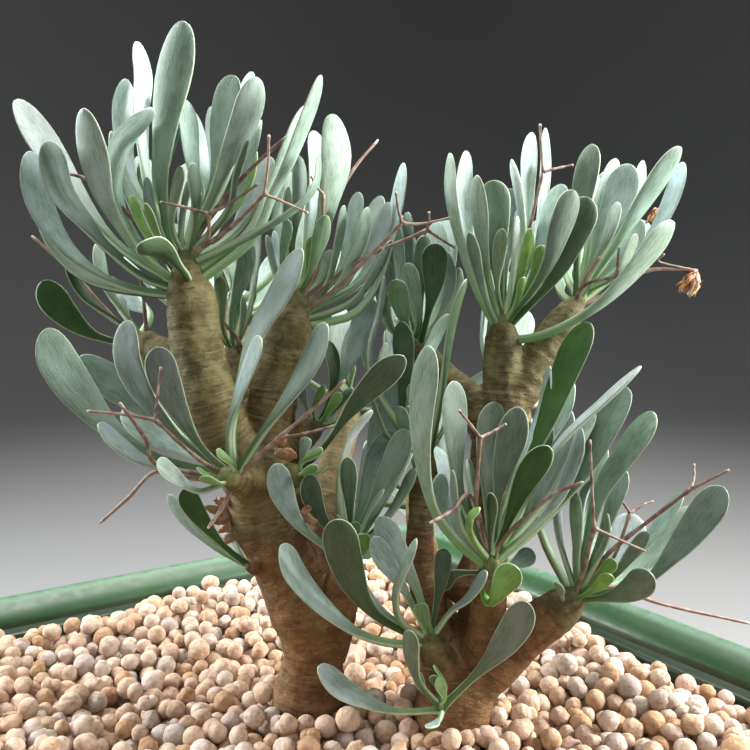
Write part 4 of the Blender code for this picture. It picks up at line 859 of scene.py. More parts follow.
def ease(t):
    """From 0 to 1 with a soft start and end."""
    t = np.clip(t, 0, 1)
    return t * t * (3 - 2 * t)


# A leaf's section: how far across, for the upper face from right to left and then the lower one back
SECTION = np.array(
    [1, 0.93, 0.72, 0.42, 0.12, -0.12, -0.42, -0.72, -0.93, -1, -0.93, -0.7, -0.35, 0, 0.35, 0.7, 0.93]
)
# Which of its points are the upper face's, how high each lies, and how much of the groove and keel each has
UPPER = np.arange(len(SECTION)) < 10
RAISED = 0.35 * (1 - np.abs(SECTION) ** 2.5) ** 0.6
HANGING = 0.65 * (1 - np.abs(SECTION) ** 2.2) ** 0.7
BODY = np.where(UPPER, RAISED, -HANGING)
CHANNEL = np.where(UPPER, np.exp(-((SECTION / 0.22) ** 2)), 0)
KEEL = np.where(UPPER, 0, np.exp(-((SECTION / 0.15) ** 2)))
GROOVE_DEPTH = 0.13
KEEL_DEPTH = 0.05
# The ranges that a leaf's own shape is drawn from, as shares: where it is widest, where its petiole ends, how
# blunt its tip is and how cupped its blade
WIDEST = (0.80, 0.87)
PETIOLE_END = (0.20, 0.32)
BLUNTNESS = (0.44, 0.54)
CUP = (0.02, 0.10)
PETIOLE_WIDTH = 0.23
SLIM_PETIOLE_WIDTH = 0.3
BLADE_STEPS = 14
TIP_STEPS = 8
TIP_REACH = 0.965
BLADE_DEPTH = 0.4
SLIMMEST = 0.62
WIDEST_FIT = 1.02
HIDDEN_SLIMMING = 0.92
FOOT_REACH = 1.6
# A whole turn, near enough for a draw, and the turn from one young leaf or flower strip to the next
ROUND = 6.28
NEXT_TURN = 2.4


def fine_leaf(shape, leaf, tone):
    """One leaf with its petiole, channelled upper face, rounded margins and blunt tip."""
    draw = random.Random(str(leaf["key"]))
    widest = draw.uniform(*WIDEST)
    stalk = draw.uniform(*PETIOLE_END)
    blunt = draw.uniform(*BLUNTNESS)
    cup = draw.uniform(*CUP)
    low = np.linspace(0, widest, BLADE_STEPS, endpoint=False)
    tip = np.sin(np.linspace(0, math.pi / 2 * TIP_REACH, TIP_STEPS))
    shares = np.concatenate([low, widest + (1 - widest) * tip])
    rest = np.clip((shares - widest) / (1 - widest), 0, 1)
    close = (1 - rest**2) ** blunt
    petiole = PETIOLE_WIDTH if leaf["width"] > SLIM_BELOW else SLIM_PETIOLE_WIDTH
    foot = np.exp(-shares * leaf["length"] / FOOT_REACH)
    opened = ease((shares - stalk) / (widest - stalk)) ** 1.12
    wide = (petiole * (1 + 0.6 * foot) + (1 - petiole) * opened) * close * leaf["width"] / 2
    thinned = 0.95 + 0.25 * foot - 0.3 * ease((shares - stalk) / 0.5)
    deep = leaf["thick"] * thinned * (0.25 + 0.75 * np.sqrt(1 - rest**2))
    spots = spread(smooth(leaf["knots"], 61), list(shares) + [1.0])
    wide = wide * slimming(leaf, spots, wide)
    wave = draw.uniform(0, ROUND)
    x = np.outer(wide * (1 + 0.02 * np.sin(wave + 19 * shares)), SECTION)
    groove = GROOVE_DEPTH * np.exp(-(((shares - 0.5) / 0.3) ** 2))
    z = deep[:, None] * (BODY - np.outer(groove, CHANNEL) - KEEL_DEPTH * KEEL)
    z += np.outer(cup * wide * ease((shares - 0.3) / 0.4), SECTION**2)
    points = []
    for i, spot in enumerate(spots[:-1]):
        tangent = (spots[i + 1] - spots[max(i - 1, 0)]).normalized()
        across = leaf["across"](tangent, spot)
        normal = tangent.cross(across).normalized() * leaf["upper"]
        across = across * leaf["upper"]
        points.append(np.array(spot) + np.outer(x[i], np.array(across)) + np.outer(z[i], np.array(normal)))
    points.append(rows_of(spots[-1:]))

    def at_points(rows, last):
        """A value at every point, from one for each ring or section point, and the tip's own."""
        return np.append(np.broadcast_to(rows, x.shape).ravel().astype(float), last)

    across_mm = at_points(x, 0)
    along_mm = at_points((shares * leaf["length"])[:, None], leaf["length"])
    grain = np.stack([across_mm, along_mm, np.full(len(across_mm), draw.uniform(0, 50))], axis=1)
    edge = at_points(np.outer(wide, 1 - np.abs(SECTION)), 0)
    face = at_points(UPPER, 0.5)
    share = at_points(shares[:, None], 1)
    faces = rings_to_faces(len(shares), len(SECTION))
    shape.add(np.concatenate(points), faces, tone=tone, grain=grain, edge=edge, face=face, share=share)


def slimming(leaf, spots, wide):
    """How much narrower the blade is than its solid, so that it looks as wide as in the photograph."""
    if leaf["shown"] is None:
        return HIDDEN_SLIMMING
    i = int(np.argmax(wide))
    tangent = (spots[i + 1] - spots[i - 1]).normalized()
    across = leaf["across"](tangent, spots[i])
    normal = tangent.cross(across)
    low, high = pictured(rows_of((spots[i - 1], spots[i + 1])))
    run = (high - low) / np.linalg.norm(high - low)
    aside = np.array([-run[1], run[0]])
    turns = np.linspace(0, 2 * math.pi, 24, endpoint=False)
    raised = np.array(spots[i]) + np.outer(BLADE_DEPTH * leaf["thick"] * np.sin(turns), np.array(normal))
    share = 1.0
    for _ in range(4):
        ring = raised + np.outer(share * wide[i] * np.cos(turns), np.array(across))
        seen_wide = np.ptp(pictured(ring) @ aside)
        share = min(max(share * leaf["shown"] / seen_wide, SLIMMEST), WIDEST_FIT)
    return share


def tube(path, radii, around):
    """A round tube with domed ends: its points and faces."""
    path = rows_of(path)
    tangents = np.gradient(path, axis=0)
    tangents /= np.linalg.norm(tangents, axis=1)[:, None]
    turns = np.arange(around) * 2 * math.pi / around
    side = np.cross(tangents[0], (0.31, 0.17, 0.93))
    points = []
    for spot, tangent, radius in zip(path, tangents, radii):
        side = side - tangent * side.dot(tangent)
        side /= np.linalg.norm(side)
        other = np.cross(tangent, side)
        points.append(spot + radius * (np.outer(np.cos(turns), side) + np.outer(np.sin(turns), other)))
    points.append(path[-1:] + tangents[-1] * radii[-1] * 0.5)
    return np.concatenate(points), rings_to_faces(len(path), around)


# Materials


class Paint:
    """A node material on a Principled shader."""

    def __init__(self, name, **inputs):
        self.made = bpy.data.materials.new(name)
        self.made.use_nodes = True
        self.tree = self.made.node_tree
        self.shader = self.tree.nodes["Principled BSDF"]
        for key, value in inputs.items():
            self.put(key.replace("_", " "), value)

    def put(self, name, value):
        """A value, colour or other node's output on one of the shader's sockets."""
        self.set(self.shader.inputs[name], value)

    def set(self, socket, value):
        """A value, colour or other node's output on any socket."""
        if isinstance(value, bpy.types.NodeSocket):
            self.tree.links.new(value, socket)
        elif isinstance(value, tuple) and len(value) == 3 and len(socket.default_value) == 4:
            socket.default_value = (*value, 1)
        else:
            socket.default_value = value

    def add(self, kind, output=0, options=(), **inputs):
        """A new node's output; an input is given by its name, or by n and its number."""
        node = self.tree.nodes.new("ShaderNode" + kind)
        for key, value in options:
            setattr(node, key, value)
        for key, value in inputs.items():
            self.set(node.inputs[int(key[1:]) if key[1:].isdigit() else key], value)
        return node.outputs[output]

    def value(self, name):
        return self.add("Attribute", "Fac", (("attribute_name", name),))

    def vector(self, name):
        return self.add("Attribute", "Vector", (("attribute_name", name),))

    def math(self, operation, a, b=0.0):
        return self.add("Math", 0, (("operation", operation),), n0=a, n1=b)

    def plus(self, a, b, share):
        """A value with a share of another added."""
        return self.math("ADD", a, self.math("MULTIPLY", b, share))

    def ramp(self, value, low, high, to_low=0.0, to_high=1.0):
        """The value eased from low to high."""
        options = (("interpolation_type", "SMOOTHSTEP"),)
        return self.add("MapRange", 0, options, n0=value, n1=low, n2=high, n3=to_low, n4=to_high)

    def mix(self, share, a, b, kind="MIX"):
        return self.add("Mix", 2, (("data_type", "RGBA"), ("blend_type", kind)), n0=share, n6=a, n7=b)

    def laid(self, base, tone, value, low, high, most=1.0):
        """The tone laid over the base where the value has come from low to high, at most in this share."""
        return self.mix(self.ramp(value, low, high, 0.0, most), base, tone)

    def tinted(self, tone, tint):
        return self.mix(1.0, tone, tint, "MULTIPLY")

    def noise(self, where, scale, detail=3.0, rough=0.55):
        return self.add("TexNoise", Vector=where, Scale=scale, Detail=detail, Roughness=rough)

    def stretched(self, where, scale):
        return self.add("Mapping", Vector=where, Scale=scale)

    def bump(self, height, strength, distance):
        self.put("Normal", self.add("Bump", Height=height, Strength=strength, Distance=distance))


def linear(red, green, blue):
    """A colour given as it looks on a screen, from 0 to 255, in the shader's linear values."""
    return tuple((c / 255) ** 2.2 for c in (red, green, blue))


def leaf_paint():
    """Grey-green skin with a streaked and clouded bloom, greener to the foot and pale along the margin, with
    painted shade on the lower face.
    """
    paint = Paint("leaf_bloom", Roughness=0.5, Specular_IOR_Level=0.35)
    grain = paint.vector("grain")
    tone = paint.vector("tone")
    streak = paint.noise(paint.stretched(grain, (2.0, 0.4, 1.0)), 1.0, 6.0, 0.7)
    cloud = paint.noise(paint.stretched(grain, (0.3, 0.14, 1.0)), 1.0, 2.0)
    fleck = paint.noise(grain, 3.4, 4.0, 0.7)
    bloom = paint.tinted(tone, (1.28, 1.27, 1.38))
    base = paint.laid(paint.tinted(tone, (0.62, 0.71, 0.60)), tone, streak, 0.36, 0.60)
    base = paint.laid(base, bloom, cloud, 0.42, 0.68, 0.7)
    base = paint.laid(base, bloom, fleck, 0.56, 0.74, 0.35)
    base = paint.laid(base, paint.tinted(tone, (0.55, 0.80, 0.36)), paint.value("share"), 0.66, 0.12)
    # Painted shade: the lower face darker and greener than the upper
    base = paint.mix(paint.value("face"), paint.tinted(base, (0.86, 0.92, 0.80)), base)
    base = paint.laid(base, linear(186, 200, 168), paint.value("edge"), 0.26, 0.0, 0.75)
    paint.put("Base Color", base)
    paint.put("Roughness", paint.ramp(streak, 0.3, 0.7, 0.44, 0.62))
    paint.bump(paint.plus(streak, fleck, 0.5), 0.4, 0.0003)
    return paint.made


def bark_paint():
    """Bare orange-brown trunk, green-grey stems and green stem ends, by age, with rings, scars and specks."""
    paint = Paint("bark_skin", Roughness=0.7, Specular_IOR_Level=0.3)
    where = paint.vector("grain")
    age = paint.value("age")
    patch = paint.noise(where, 0.24, 5.0, 0.62)
    warped = paint.add("CombineXYZ", X=paint.noise(where, 0.3, 2.0), Y=paint.value("along"))
    rings = paint.noise(paint.stretched(warped, (2.0, 1.3, 1.0)), 1.0, 4.0, 0.62)
    scars = paint.noise(paint.stretched(where, (0.6, 0.6, 1.5)), 1.0, 2.0, 0.5)
    speck = paint.noise(where, 2.4, 4.0, 0.7)

    def ringed(skin, dark, pale):
        """A skin with dark and pale rings round the stem."""
        skin = paint.laid(skin, linear(*dark), rings, 0.5, 0.64, 0.45)
        return paint.laid(skin, linear(*pale), rings, 0.47, 0.36, 0.35)

    old = paint.laid(linear(92, 66, 40), linear(120, 92, 60), patch, 0.36, 0.62)
    old = ringed(old, (74, 50, 30), (144, 120, 86))
    young = paint.laid(linear(86, 76, 46), linear(114, 100, 65), patch, 0.38, 0.60)
    young = ringed(young, (60, 50, 30), (144, 130, 95))
    peel = paint.plus(age, paint.math("SUBTRACT", patch, 0.5), 0.14)
    base = paint.laid(old, young, peel, PEEL_AGE, PEEL_AGE + 0.03)
    top = paint.laid(linear(90, 96, 56), linear(125, 126, 86), patch, 0.38, 0.62)
    base = paint.laid(base, top, paint.plus(age, patch, 0.12), 0.92, 1.04)
    base = paint.laid(base, linear(60, 44, 26), scars, 0.66, 0.70, 0.7)
    base = paint.laid(base, linear(150, 132, 100), scars, 0.34, 0.30, 0.4)
    base = paint.laid(base, linear(80, 60, 36), speck, 0.60, 0.74, 0.35)
    paint.put("Base Color", base)
    height = paint.plus(paint.math("MULTIPLY", rings, 0.8), speck, 0.4)
    paint.bump(paint.plus(height, scars, -0.8), 0.5, 0.0005)
    return paint.made


def stalk_paint():
    """Dry purplish brown, paler in patches and darker in specks."""
    paint = Paint("dry_stalk", Roughness=0.6)
    where = paint.vector("grain")
    patch = paint.noise(where, 0.5, 3.0)
    base = paint.laid(paint.vector("tone"), linear(158, 136, 120), patch, 0.4, 0.65)
    base = paint.laid(base, linear(82, 60, 54), paint.noise(where, 2.0), 0.5, 0.7, 0.4)
    paint.put("Base Color", base)
    paint.bump(patch, 0.4, 0.0003)
    return paint.made


def ball_paint():
    """Unglazed clay, each ball in its own tone with darker and lighter patches and rusty pores."""
    paint = Paint("fired_clay", Roughness=0.9, Specular_IOR_Level=0.2)
    where = paint.vector("grain")
    tone = paint.vector("tone")
    patch = paint.noise(where, 0.5, 4.0, 0.6)
    pore = paint.noise(where, 2.0, 5.0, 0.7)
    base = paint.laid(tone, paint.tinted(tone, (0.78, 0.66, 0.54)), patch, 0.48, 0.66)
    base = paint.laid(base, paint.tinted(tone, (1.10, 1.12, 1.16)), patch, 0.46, 0.34)
    base = paint.laid(base, linear(158, 116, 80), pore, 0.58, 0.72, 0.55)
    paint.put("Base Color", base)
    paint.bump(paint.plus(paint.noise(where, 0.9, 3.0, 0.5), pore, 0.35), 0.7, 0.0006)
    return paint.made


# Where the pot's paint changes, as millimetres under the lip's crest where a coat starts and where it is full
# A painted highlight: a pale band along the lip's crest stands in for the light that the crest catches
CREST_HIGHLIGHT = (1.4, 0.3)
SPECKS = (6.0, 1.0)
# Painted shade inside the rim: darker green under the lip, where the lip shades it
RIM_SHADE = (14.0, 13.0)
# The same for the painted shade under the lip, as millimetres inside the pot's side
RIM_SHADE_INSIDE = (8.5, 9.0)


def pot_paint():
    """Green plastic with dust specks near the lip, a painted highlight along the lip's crest and painted
    shade inside the rim.
    """
    paint = Paint("green_plastic", Roughness=0.42, Specular_IOR_Level=0.5)
    where = paint.add("TexCoord", "Object")
    x, y, high = (paint.add("SeparateXYZ", axis, Vector=where) for axis in "XYZ")
    cloud = paint.noise(where, 30.0, 4.0, 0.6)
    dust = paint.noise(where, 1100.0, 3.0, 0.75)
    highlight_and_gloss_noise = paint.noise(where, 420.0, 4.0, 0.7)

    def below(levels):
        """How much of a coat there is at a height."""
        return paint.ramp(high, *((POT_HEIGHT - level) / 1000 for level in levels))

    base = paint.laid(linear(34, 70, 35), linear(39, 76, 39), cloud, 0.35, 0.7)
    # Painted highlight: pale green-white along the lip's crest, patchy by the noise
    painted_highlight = paint.math("MULTIPLY", below(CREST_HIGHLIGHT), paint.ramp(highlight_and_gloss_noise, 0.3, 0.7, 0.3, 0.5))
    base = paint.mix(painted_highlight, base, linear(120, 150, 132))
    specked = paint.math("MULTIPLY", below(SPECKS), paint.ramp(dust, 0.70, 0.76, 0.0, 0.6))
    base = paint.mix(specked, base, linear(190, 196, 176))
    out = paint.math("MAXIMUM", paint.math("ABSOLUTE", x), paint.math("ABSOLUTE", y))
    inside = paint.ramp(out, *((POT_HALF - depth) / 1000 for depth in RIM_SHADE_INSIDE))
    # Painted shade: the inside of the rim below the lip darkened to deep green
    base = paint.mix(paint.math("MULTIPLY", inside, below(RIM_SHADE)), base, linear(24, 46, 24))
    paint.put("Base Color", base)
    paint.put("Roughness", paint.ramp(highlight_and_gloss_noise, 0.3, 0.7, 0.36, 0.5))
    paint.bump(paint.noise(where, 160.0, 4.0), 0.2, 0.0004)
    return paint.made


# The pot

# Its lip and the ledge inside it as (half side, corner radius, height): a broad roll that falls inwards
LIP = (
    (POT_HALF - 0.5, 14.0, POT_HEIGHT - 12.8),
    (POT_HALF, 14.0, POT_HEIGHT - 11.5),
    (POT_HALF, 14.0, POT_HEIGHT - 7.0),
    (POT_HALF, 14.0, POT_HEIGHT - 2.4),
    (POT_HALF - 0.6, 13.8, POT_HEIGHT - 0.7),
    (POT_HALF - 1.9, 13.4, POT_HEIGHT),
    (POT_HALF - 3.6, 13.0, POT_HEIGHT - 0.5),
    (POT_HALF - 5.4, 12.6, POT_HEIGHT - 1.5),
    (POT_HALF - 7.2, 12.3, POT_HEIGHT - 2.9),
    (POT_HALF - 8.6, 12.0, POT_HEIGHT - 4.6),
    (POT_HALF - 8.9, 11.9, POT_HEIGHT - 5.8),
)
LEDGE = (
    (POT_HALF - 9.0, 11.8, POT_HEIGHT - 6.3),
    (POT_HALF - 10.2, 11.5, POT_HEIGHT - 6.6),
    (POT_HALF - 11.9, 11.1, POT_HEIGHT - 7.0),
    (POT_HALF - 12.3, 11.0, POT_HEIGHT - 7.8),
    (POT_HALF - 12.4, 11.0, POT_HEIGHT - 9.5),
)
LIP_RINGS = 34
LEDGE_RINGS = 12
SHARP_ANGLE = math.radians(50)


def rounded_square(half, radius, height, steps=12):
    """The corners of a rounded square at one height, anticlockwise, in millimetres."""
    points = []
    for quarter in range(4):
        start = quarter * math.pi / 2
        reach = half - radius
        for step in range(steps + 1):
            turn = start + step * math.pi / 2 / steps
            x = reach * (1 if quarter in (0, 3) else -1) + radius * math.cos(turn)
            y = reach * (1 if quarter in (0, 1) else -1) + radius * math.sin(turn)
            points.append((x, y, height))
    return np.array(points)


def make_pot(paint):
    """The pot with a fine lip, in the part's own frame."""
    lip = smooth([Vector(level) for level in LIP], LIP_RINGS)
    levels = [POT_FOOT, POT_FOOT_EDGE, *POT_SHOULDER]
    levels += [(min(half, POT_HALF), radius, min(height, POT_HEIGHT)) for half, radius, height in lip]
    levels += [tuple(level) for level in smooth([Vector(level) for level in LEDGE], LEDGE_RINGS)]
    rings = [rounded_square(*level) for level in levels + [POT_INNER_FOOT]]
    faces = rings_to_faces(len(rings), len(rings[0]), tip=False)
    body = mesh_object("pot_fine", np.concatenate(rings) / 1000, faces)
    cutter = drain_drills()
    body.modifiers.new("drains", "BOOLEAN").object = cutter
    applied(body)
    bpy.data.objects.remove(cutter, do_unlink=True)
    body.data.shade_smooth()
    body.data.set_sharp_from_angle(angle=SHARP_ANGLE)
    settled(body, paint, ("pot",))


def drain_drills():
    """Four round pegs through the pot's bottom, to cut the drain holes with."""
    radius = DRAIN_RADIUS / 1000
    depth = DRAIN_DEPTH / 1000
    shaped = bmesh.new()
    for x, y in DRAINS:
        ends = {"cap_ends": True, "segments": 32, "radius1": radius, "radius2": radius}
        made = bmesh.ops.create_cone(shaped, depth=depth, **ends)
        bmesh.ops.translate(shaped, verts=made["verts"], vec=(x / 1000, y / 1000, 0))
    cutter = mesh_object("drills", (), ())
    shaped.to_mesh(cutter.data)
    shaped.free()
    return cutter


# Stems

VOXEL = 0.55
# Where the left trunk is slimmest above the balls, as (x, y, away, radius)
WAIST = (313, 640, 5, 6.8)
# The age at which a stem's green-grey skin gives way to the trunk's bare orange-brown
PEEL_AGE = 0.44
# How softly one stem's rings pass into the next, in mm, and how far a bud's green reaches for its size
BLEND = 1.2
BUD_GREEN = 3.2
# How young the skin looks beside a stem's end bud, beside a small side bud, and how thick a side bud may be
STEM_BUD_AGE = 1.05
SIDE_BUD_AGE = 0.3
SIDE_BUD = 1.9
# The height over the balls at which a stem has the look of a young one
YOUNG_HEIGHT = 75
STEM_SIDES = 20


def stem_runs(group):
    """The fine runs of one trunk's stems and of the buds on them, as (points, radii, whether a bud)."""
    near, far = (TRUNK_LEFT, FAR_LEFT) if group == "trunk_left" else (TRUNK_RIGHT, FAR_RIGHT)
    if group == "trunk_left":
        near = ((near[0][:1] + (WAIST,) + near[0][2:]),) + near[1:]
    runs = []
    for number, points in enumerate(near + far):
        path, radii = stem_path(points, number < len(near))
        fine = smooth(path, 6 * len(path))
        knots = np.linspace(0, 1, len(radii))
        thick = np.interp(np.linspace(0, 1, len(fine)), knots, radii)
        if number == 0:
            fine.insert(0, Vector((fine[0].x, fine[0].y, -STEM_DEPTH + 2)))
            thick = np.insert(thick, 0, thick[0])
        runs.append((rows_of(fine), thick, False))
    ends = [run[0][-1] for run in runs]
    for name in list(BUDS) + list(FAR_BUDS):
        foot, top, wide, narrow = bud_line(name)
        if min(np.linalg.norm(end - np.array(foot)) for end in ends) > ON_STEM:
            continue
        reach = stem_end_direction(name) * (top - foot).length
        shares = np.linspace(-0.1, 0.9, 7)
        thick = np.interp(shares, [-0.1, 0.2, 0.9], [wide, wide * 0.96, narrow * 0.7])
        runs.append((rows_of(foot + reach * share for share in shares), thick, True))
    return runs


def make_trunk(group, paint):
    """One trunk with its stems, fused by a fine remesh, with lumps, rings and leaf scars."""
    runs = stem_runs(group)
    shape = Shape()
    for points, radii, _ in runs:
        shape.add(*tube(points, radii, STEM_SIDES))
    body = shape.piece(group + "_fine", paint, "bark", (group,))
    rough = body.modifiers.new("fused", "REMESH")
    rough.mode = "VOXEL"
    rough.voxel_size = VOXEL / 1000
    soft = body.modifiers.new("soft", "SMOOTH")
    soft.iterations = 6
    soft.factor = 0.6
    mesh = applied(body).data
    points = unplaced(point_vectors(mesh, "co"))
    normals = turned(point_vectors(mesh, "normal"), -VIEW_TURN)
    along, age = stem_measures(points, runs)
    lumps = np.array([noise.noise(Vector(p) * 0.11) for p in points])
    ringed = np.stack([points[:, 0] * 0.08, points[:, 1] * 0.08, along * 0.9], axis=1)
    rings = np.array([noise.noise(Vector(p)) for p in ringed])
    scars = np.array([noise.noise(Vector(p) * 0.55) for p in points])
    peeled = ease((age + 0.06 * lumps - PEEL_AGE) / 0.02) * (group == "trunk_left")
    scarred = 0.16 * scars * (0.4 + 1.8 * ease((age - 0.8) / 0.2))
    rise = 0.6 * lumps + 0.14 * rings + scarred + 0.28 * peeled
    points = points + normals * rise[:, None]
    mesh.vertices.foreach_set("co", placed(points).astype(np.float32).ravel())
    write_values(mesh, {"grain": points, "age": age, "along": along})
    mesh.materials.clear()
    mesh.materials.append(paint)
    mesh.shade_smooth()


def beside_run(points, path, radii):
    """How far points are outside one run, and how far along it, in millimetres."""
    steps = np.concatenate([[0], np.cumsum(np.linalg.norm(np.diff(path, axis=0), axis=1))])
    best = np.full(len(points), np.inf)
    along = np.zeros(len(points))
    for i in range(len(path) - 1):
        way = path[i + 1] - path[i]
        share = np.clip((points - path[i]) @ way / (way @ way), 0, 1)
        gap = np.linalg.norm(points - path[i] - share[:, None] * way, axis=1) - radii[i]
        closer = gap < best
        best = np.where(closer, gap, best)
        along = np.where(closer, steps[i] + share * (steps[i + 1] - steps[i]), along)
    return best, along


def stem_measures(points, runs):
    """For each point, how far along its stem it lies, and how young the stem is there."""
    starts, gaps, alongs = [], [], []
    for number, (path, radii, _) in enumerate(runs):
        root, start = path[:1], 0.0
        if number:
            found = [beside_run(root, *run[:2]) for run in runs[:number]]
            near = min(range(number), key=lambda k: found[k][0][0])
            start = starts[near] + found[near][1][0]
        starts.append(start)
        gap, along = beside_run(points, path, radii)
        gaps.append(gap)
        alongs.append(along + start)
    gaps = np.array(gaps)
    weights = np.exp(-(gaps - gaps.min(axis=0)) / BLEND)
    along = (np.array(alongs) * weights).sum(axis=0) / weights.sum(axis=0)
    age = 0.9 * ease(points[:, 2] / YOUNG_HEIGHT)
    for path, radii, bud in runs:
        if bud:
            near = ease(1 - np.linalg.norm(points - path[-1], axis=1) / (BUD_GREEN * (1.0 + radii[0])))
            age = np.maximum(age, near * (STEM_BUD_AGE if radii[0] > SIDE_BUD else SIDE_BUD_AGE))
    return along, age


# Dry stalks

KNOB = 0.34
STALK_THICK = 0.50
ARM_THICK = 0.34
# How far a coarse stalk's corners lie from its middle line at the tip
SOLID_STALK = 0.7 * 0.75
STALK_SIDES = 8
STALK_TONES = ((112, 84, 78), (128, 100, 88), (98, 70, 70), (138, 116, 92))
STALK_FOOT_TONE = (134, 140, 96)
STALK_END_TONE = (206, 196, 176)
# A flower head's strips, the rows of points along each, and their tones
STRIPS = 15
STRIP_ROWS = 7
STRIP_TONES = ((196, 132, 74), (170, 104, 58), (214, 164, 110))


def stalk_runs(name, near, places, arms, shift):
    """A dry stalk, its arms and its flower head, each as (points, radius)."""
    foot, top, _, _ = bud_line(name)
    away = (foot.y + top.y) / 2
    end = away - (near + shift)
    main = [seen(*place, away + (end - away) * i / (len(places) - 1)) for i, place in enumerate(places)]
    main[0] = on_bud(name, main[0])
    runs = [main]
    for number, arm in enumerate(arms):
        lean = 3 if number % 2 else -3
        steps = [seen(*place, end + lean * (i + 1) / len(arm)) for i, place in enumerate(arm)]
        runs.append([main[-1]] + steps)
    if places[-1] in HEADS:
        runs.append([main[-1], seen(*HEADS[places[-1]][0], end)])
    return runs


def stalk_shift(tree, name, near, places, arms):
    """How far along the sight lines the solid has this stalk."""

    def misfit(shift):
        """How far the stalk's tip is from where the solid's corners would have it."""
        tip = stalk_runs(name, near, places, arms, shift)[0][-1]
        gap = tree.find(tip)[2]
        return gap if places[-1] in HEADS else abs(gap - SOLID_STALK)

    return min(SHIFTS, key=lambda shift: (round(misfit(shift), 1), abs(shift)))


# Stalks whose fork or bend is drawn finer than its solid, by the solid's last place
REDRAWN = {
    (729, 470): (((574, 597), (606, 556), (650, 520), (691, 489)), ((729, 470),), ((694, 477), (694, 464))),
    (598, 256): (((576, 298), (586, 278), (600, 257)),),
}


def make_stalks(trees, paint):
    """Every dry stalk, in one piece for each rosette that holds some, and the flower heads in one."""
    shapes = {}
    heads = Shape()
    for number, (name, near, places, *arms) in enumerate(STALKS):
        draw = random.Random(number)
        shape = shapes.setdefault(name, Shape())
        shift = stalk_shift(trees[name], name, near, places, arms)
        places, *arms = REDRAWN.get(places[-1], (places, *arms))
        runs = stalk_runs(name, near, places, arms, shift)
        if places[-1] in HEADS:
            dry_flower(heads, runs.pop(), draw)
        for level, run in enumerate(runs):
            dry_stalk(shape, run, level, bool(arms) and level == 0, draw)
    for name, shape in shapes.items():
        shape.piece("stalks_" + name, paint, "leaf")
    heads.piece("dry_flowers", paint, "leaf")


def dry_stalk(shape, run, level, forked, draw):
    """A stalk or an arm, with a swelling where it forks or a small knob at its end."""
    count = 6 * len(run) + 4
    fine = smooth(run, count)
    wobble = draw.uniform(0, ROUND)
    size = draw.uniform(0.9, 1.1) * (STALK_THICK if level == 0 else ARM_THICK)
    shares = np.linspace(0, 1, count)
    radii = size * (1.05 - 0.4 * shares) * (1 + 0.10 * np.sin(wobble + shares * 23))
    if level == 0:
        radii *= 1 + 0.6 * np.exp(-shares / 0.1)
    else:
        radii[:2] *= 1.25
    if forked:
        radii[-2:] *= 1.35
    else:
        radii[-2:] = KNOB * 0.95, KNOB * 0.7
    points, faces = tube(fine, radii, STALK_SIDES)
    tone = np.array(linear(*draw.choice(STALK_TONES)))
    ring = np.append(np.repeat(shares, STALK_SIDES), 1)[:, None]
    fade = ease(ring / 0.25) if level == 0 else np.ones_like(ring)
    mixed = tone * fade + np.array(linear(*STALK_FOOT_TONE)) * (1 - fade)
    if not forked:
        mixed = np.where(ring > 0.975, np.array(linear(*STALK_END_TONE)), mixed)
    shape.add(points, faces, tone=mixed, grain=points + draw.uniform(0, 40))


def dry_flower(shape, run, draw):
    """A withered flower head: crumpled papery strips drawn together about the stalk's end."""
    foot, tip = (np.array(p) for p in run)
    way = tip - foot
    length = np.linalg.norm(way)
    way /= length
    side = np.cross(way, (0.2, 0.9, 0.1))
    side /= np.linalg.norm(side)
    other = np.cross(way, side)
    for number in range(STRIPS):
        turn = number * NEXT_TURN
        out = side * math.cos(turn) + other * math.sin(turn)
        across = np.cross(way, out)
        reach = draw.uniform(0.7, 1.1) * length
        swell = draw.uniform(0.3, 0.5) * length
        wide = draw.uniform(0.5, 1.0)
        curl = draw.uniform(-0.4, 1.3)
        rows = []
        for step in range(STRIP_ROWS):
            s = step / (STRIP_ROWS - 1)
            opened = math.sin(min(s * 1.5, 1) * math.pi / 2) * (1 - 0.35 * s)
            spot = foot + way * reach * s + out * (swell * opened + curl * max(s - 0.7, 0) * 2)
            half = wide * (0.35 + math.sin(s * math.pi) * 0.75) + 0.1
            twist = 0.5 * math.sin(number + 4 * s)
            lean = (across * math.cos(twist) + out * math.sin(twist)) * half
            fold = out * 0.3 * math.sin(number * 3 + 9 * s)
            rows += [spot + lean, spot + fold + out * 0.12, spot - lean, spot + fold - out * 0.12]
        faces = rings_to_faces(STRIP_ROWS, 4, tip=False)
        tone = linear(*draw.choice(STRIP_TONES))
        shape.add(rows, faces, tone=tone, grain=np.array(rows) + 7 * number)


# Papery flakes of bark: each one's foot and tip in the photograph, how far away, and how wide in millimetres
FLAKES = (
    ((240, 504), (216, 502), 3, 1.3), ((238, 512), (208, 508), 3, 1.1), ((238, 516), (214, 519), 2, 1.6),
    ((240, 524), (222, 530), 3, 1.5), ((242, 532), (226, 541), 3, 1.3), ((236, 508), (222, 498), 2, 0.8),
    ((300, 518), (315, 521), -3, 1.0), ((303, 514), (310, 508), -3, 0.8), ((280, 448), (284, 436), -4, 0.9),
    ((276, 452), (292, 456), -4, 1.2),
)
FLAKE_TONES = ((150, 104, 58), (134, 90, 48), (168, 128, 80))
FLAKE_CELLS = 7


def make_flakes(paint):
    """The scraps of bark that peel off the left trunk, in one piece."""
    flakes = Shape()
    for number, (foot, tip, away, wide) in enumerate(FLAKES):
        foot = np.array(seen(*foot, away))
        tip = np.array(seen(*tip, away - 1))
        bark_flake(flakes, foot, tip, wide, np.random.default_rng(number))
    flakes.piece("bark_flakes", paint, "bark")


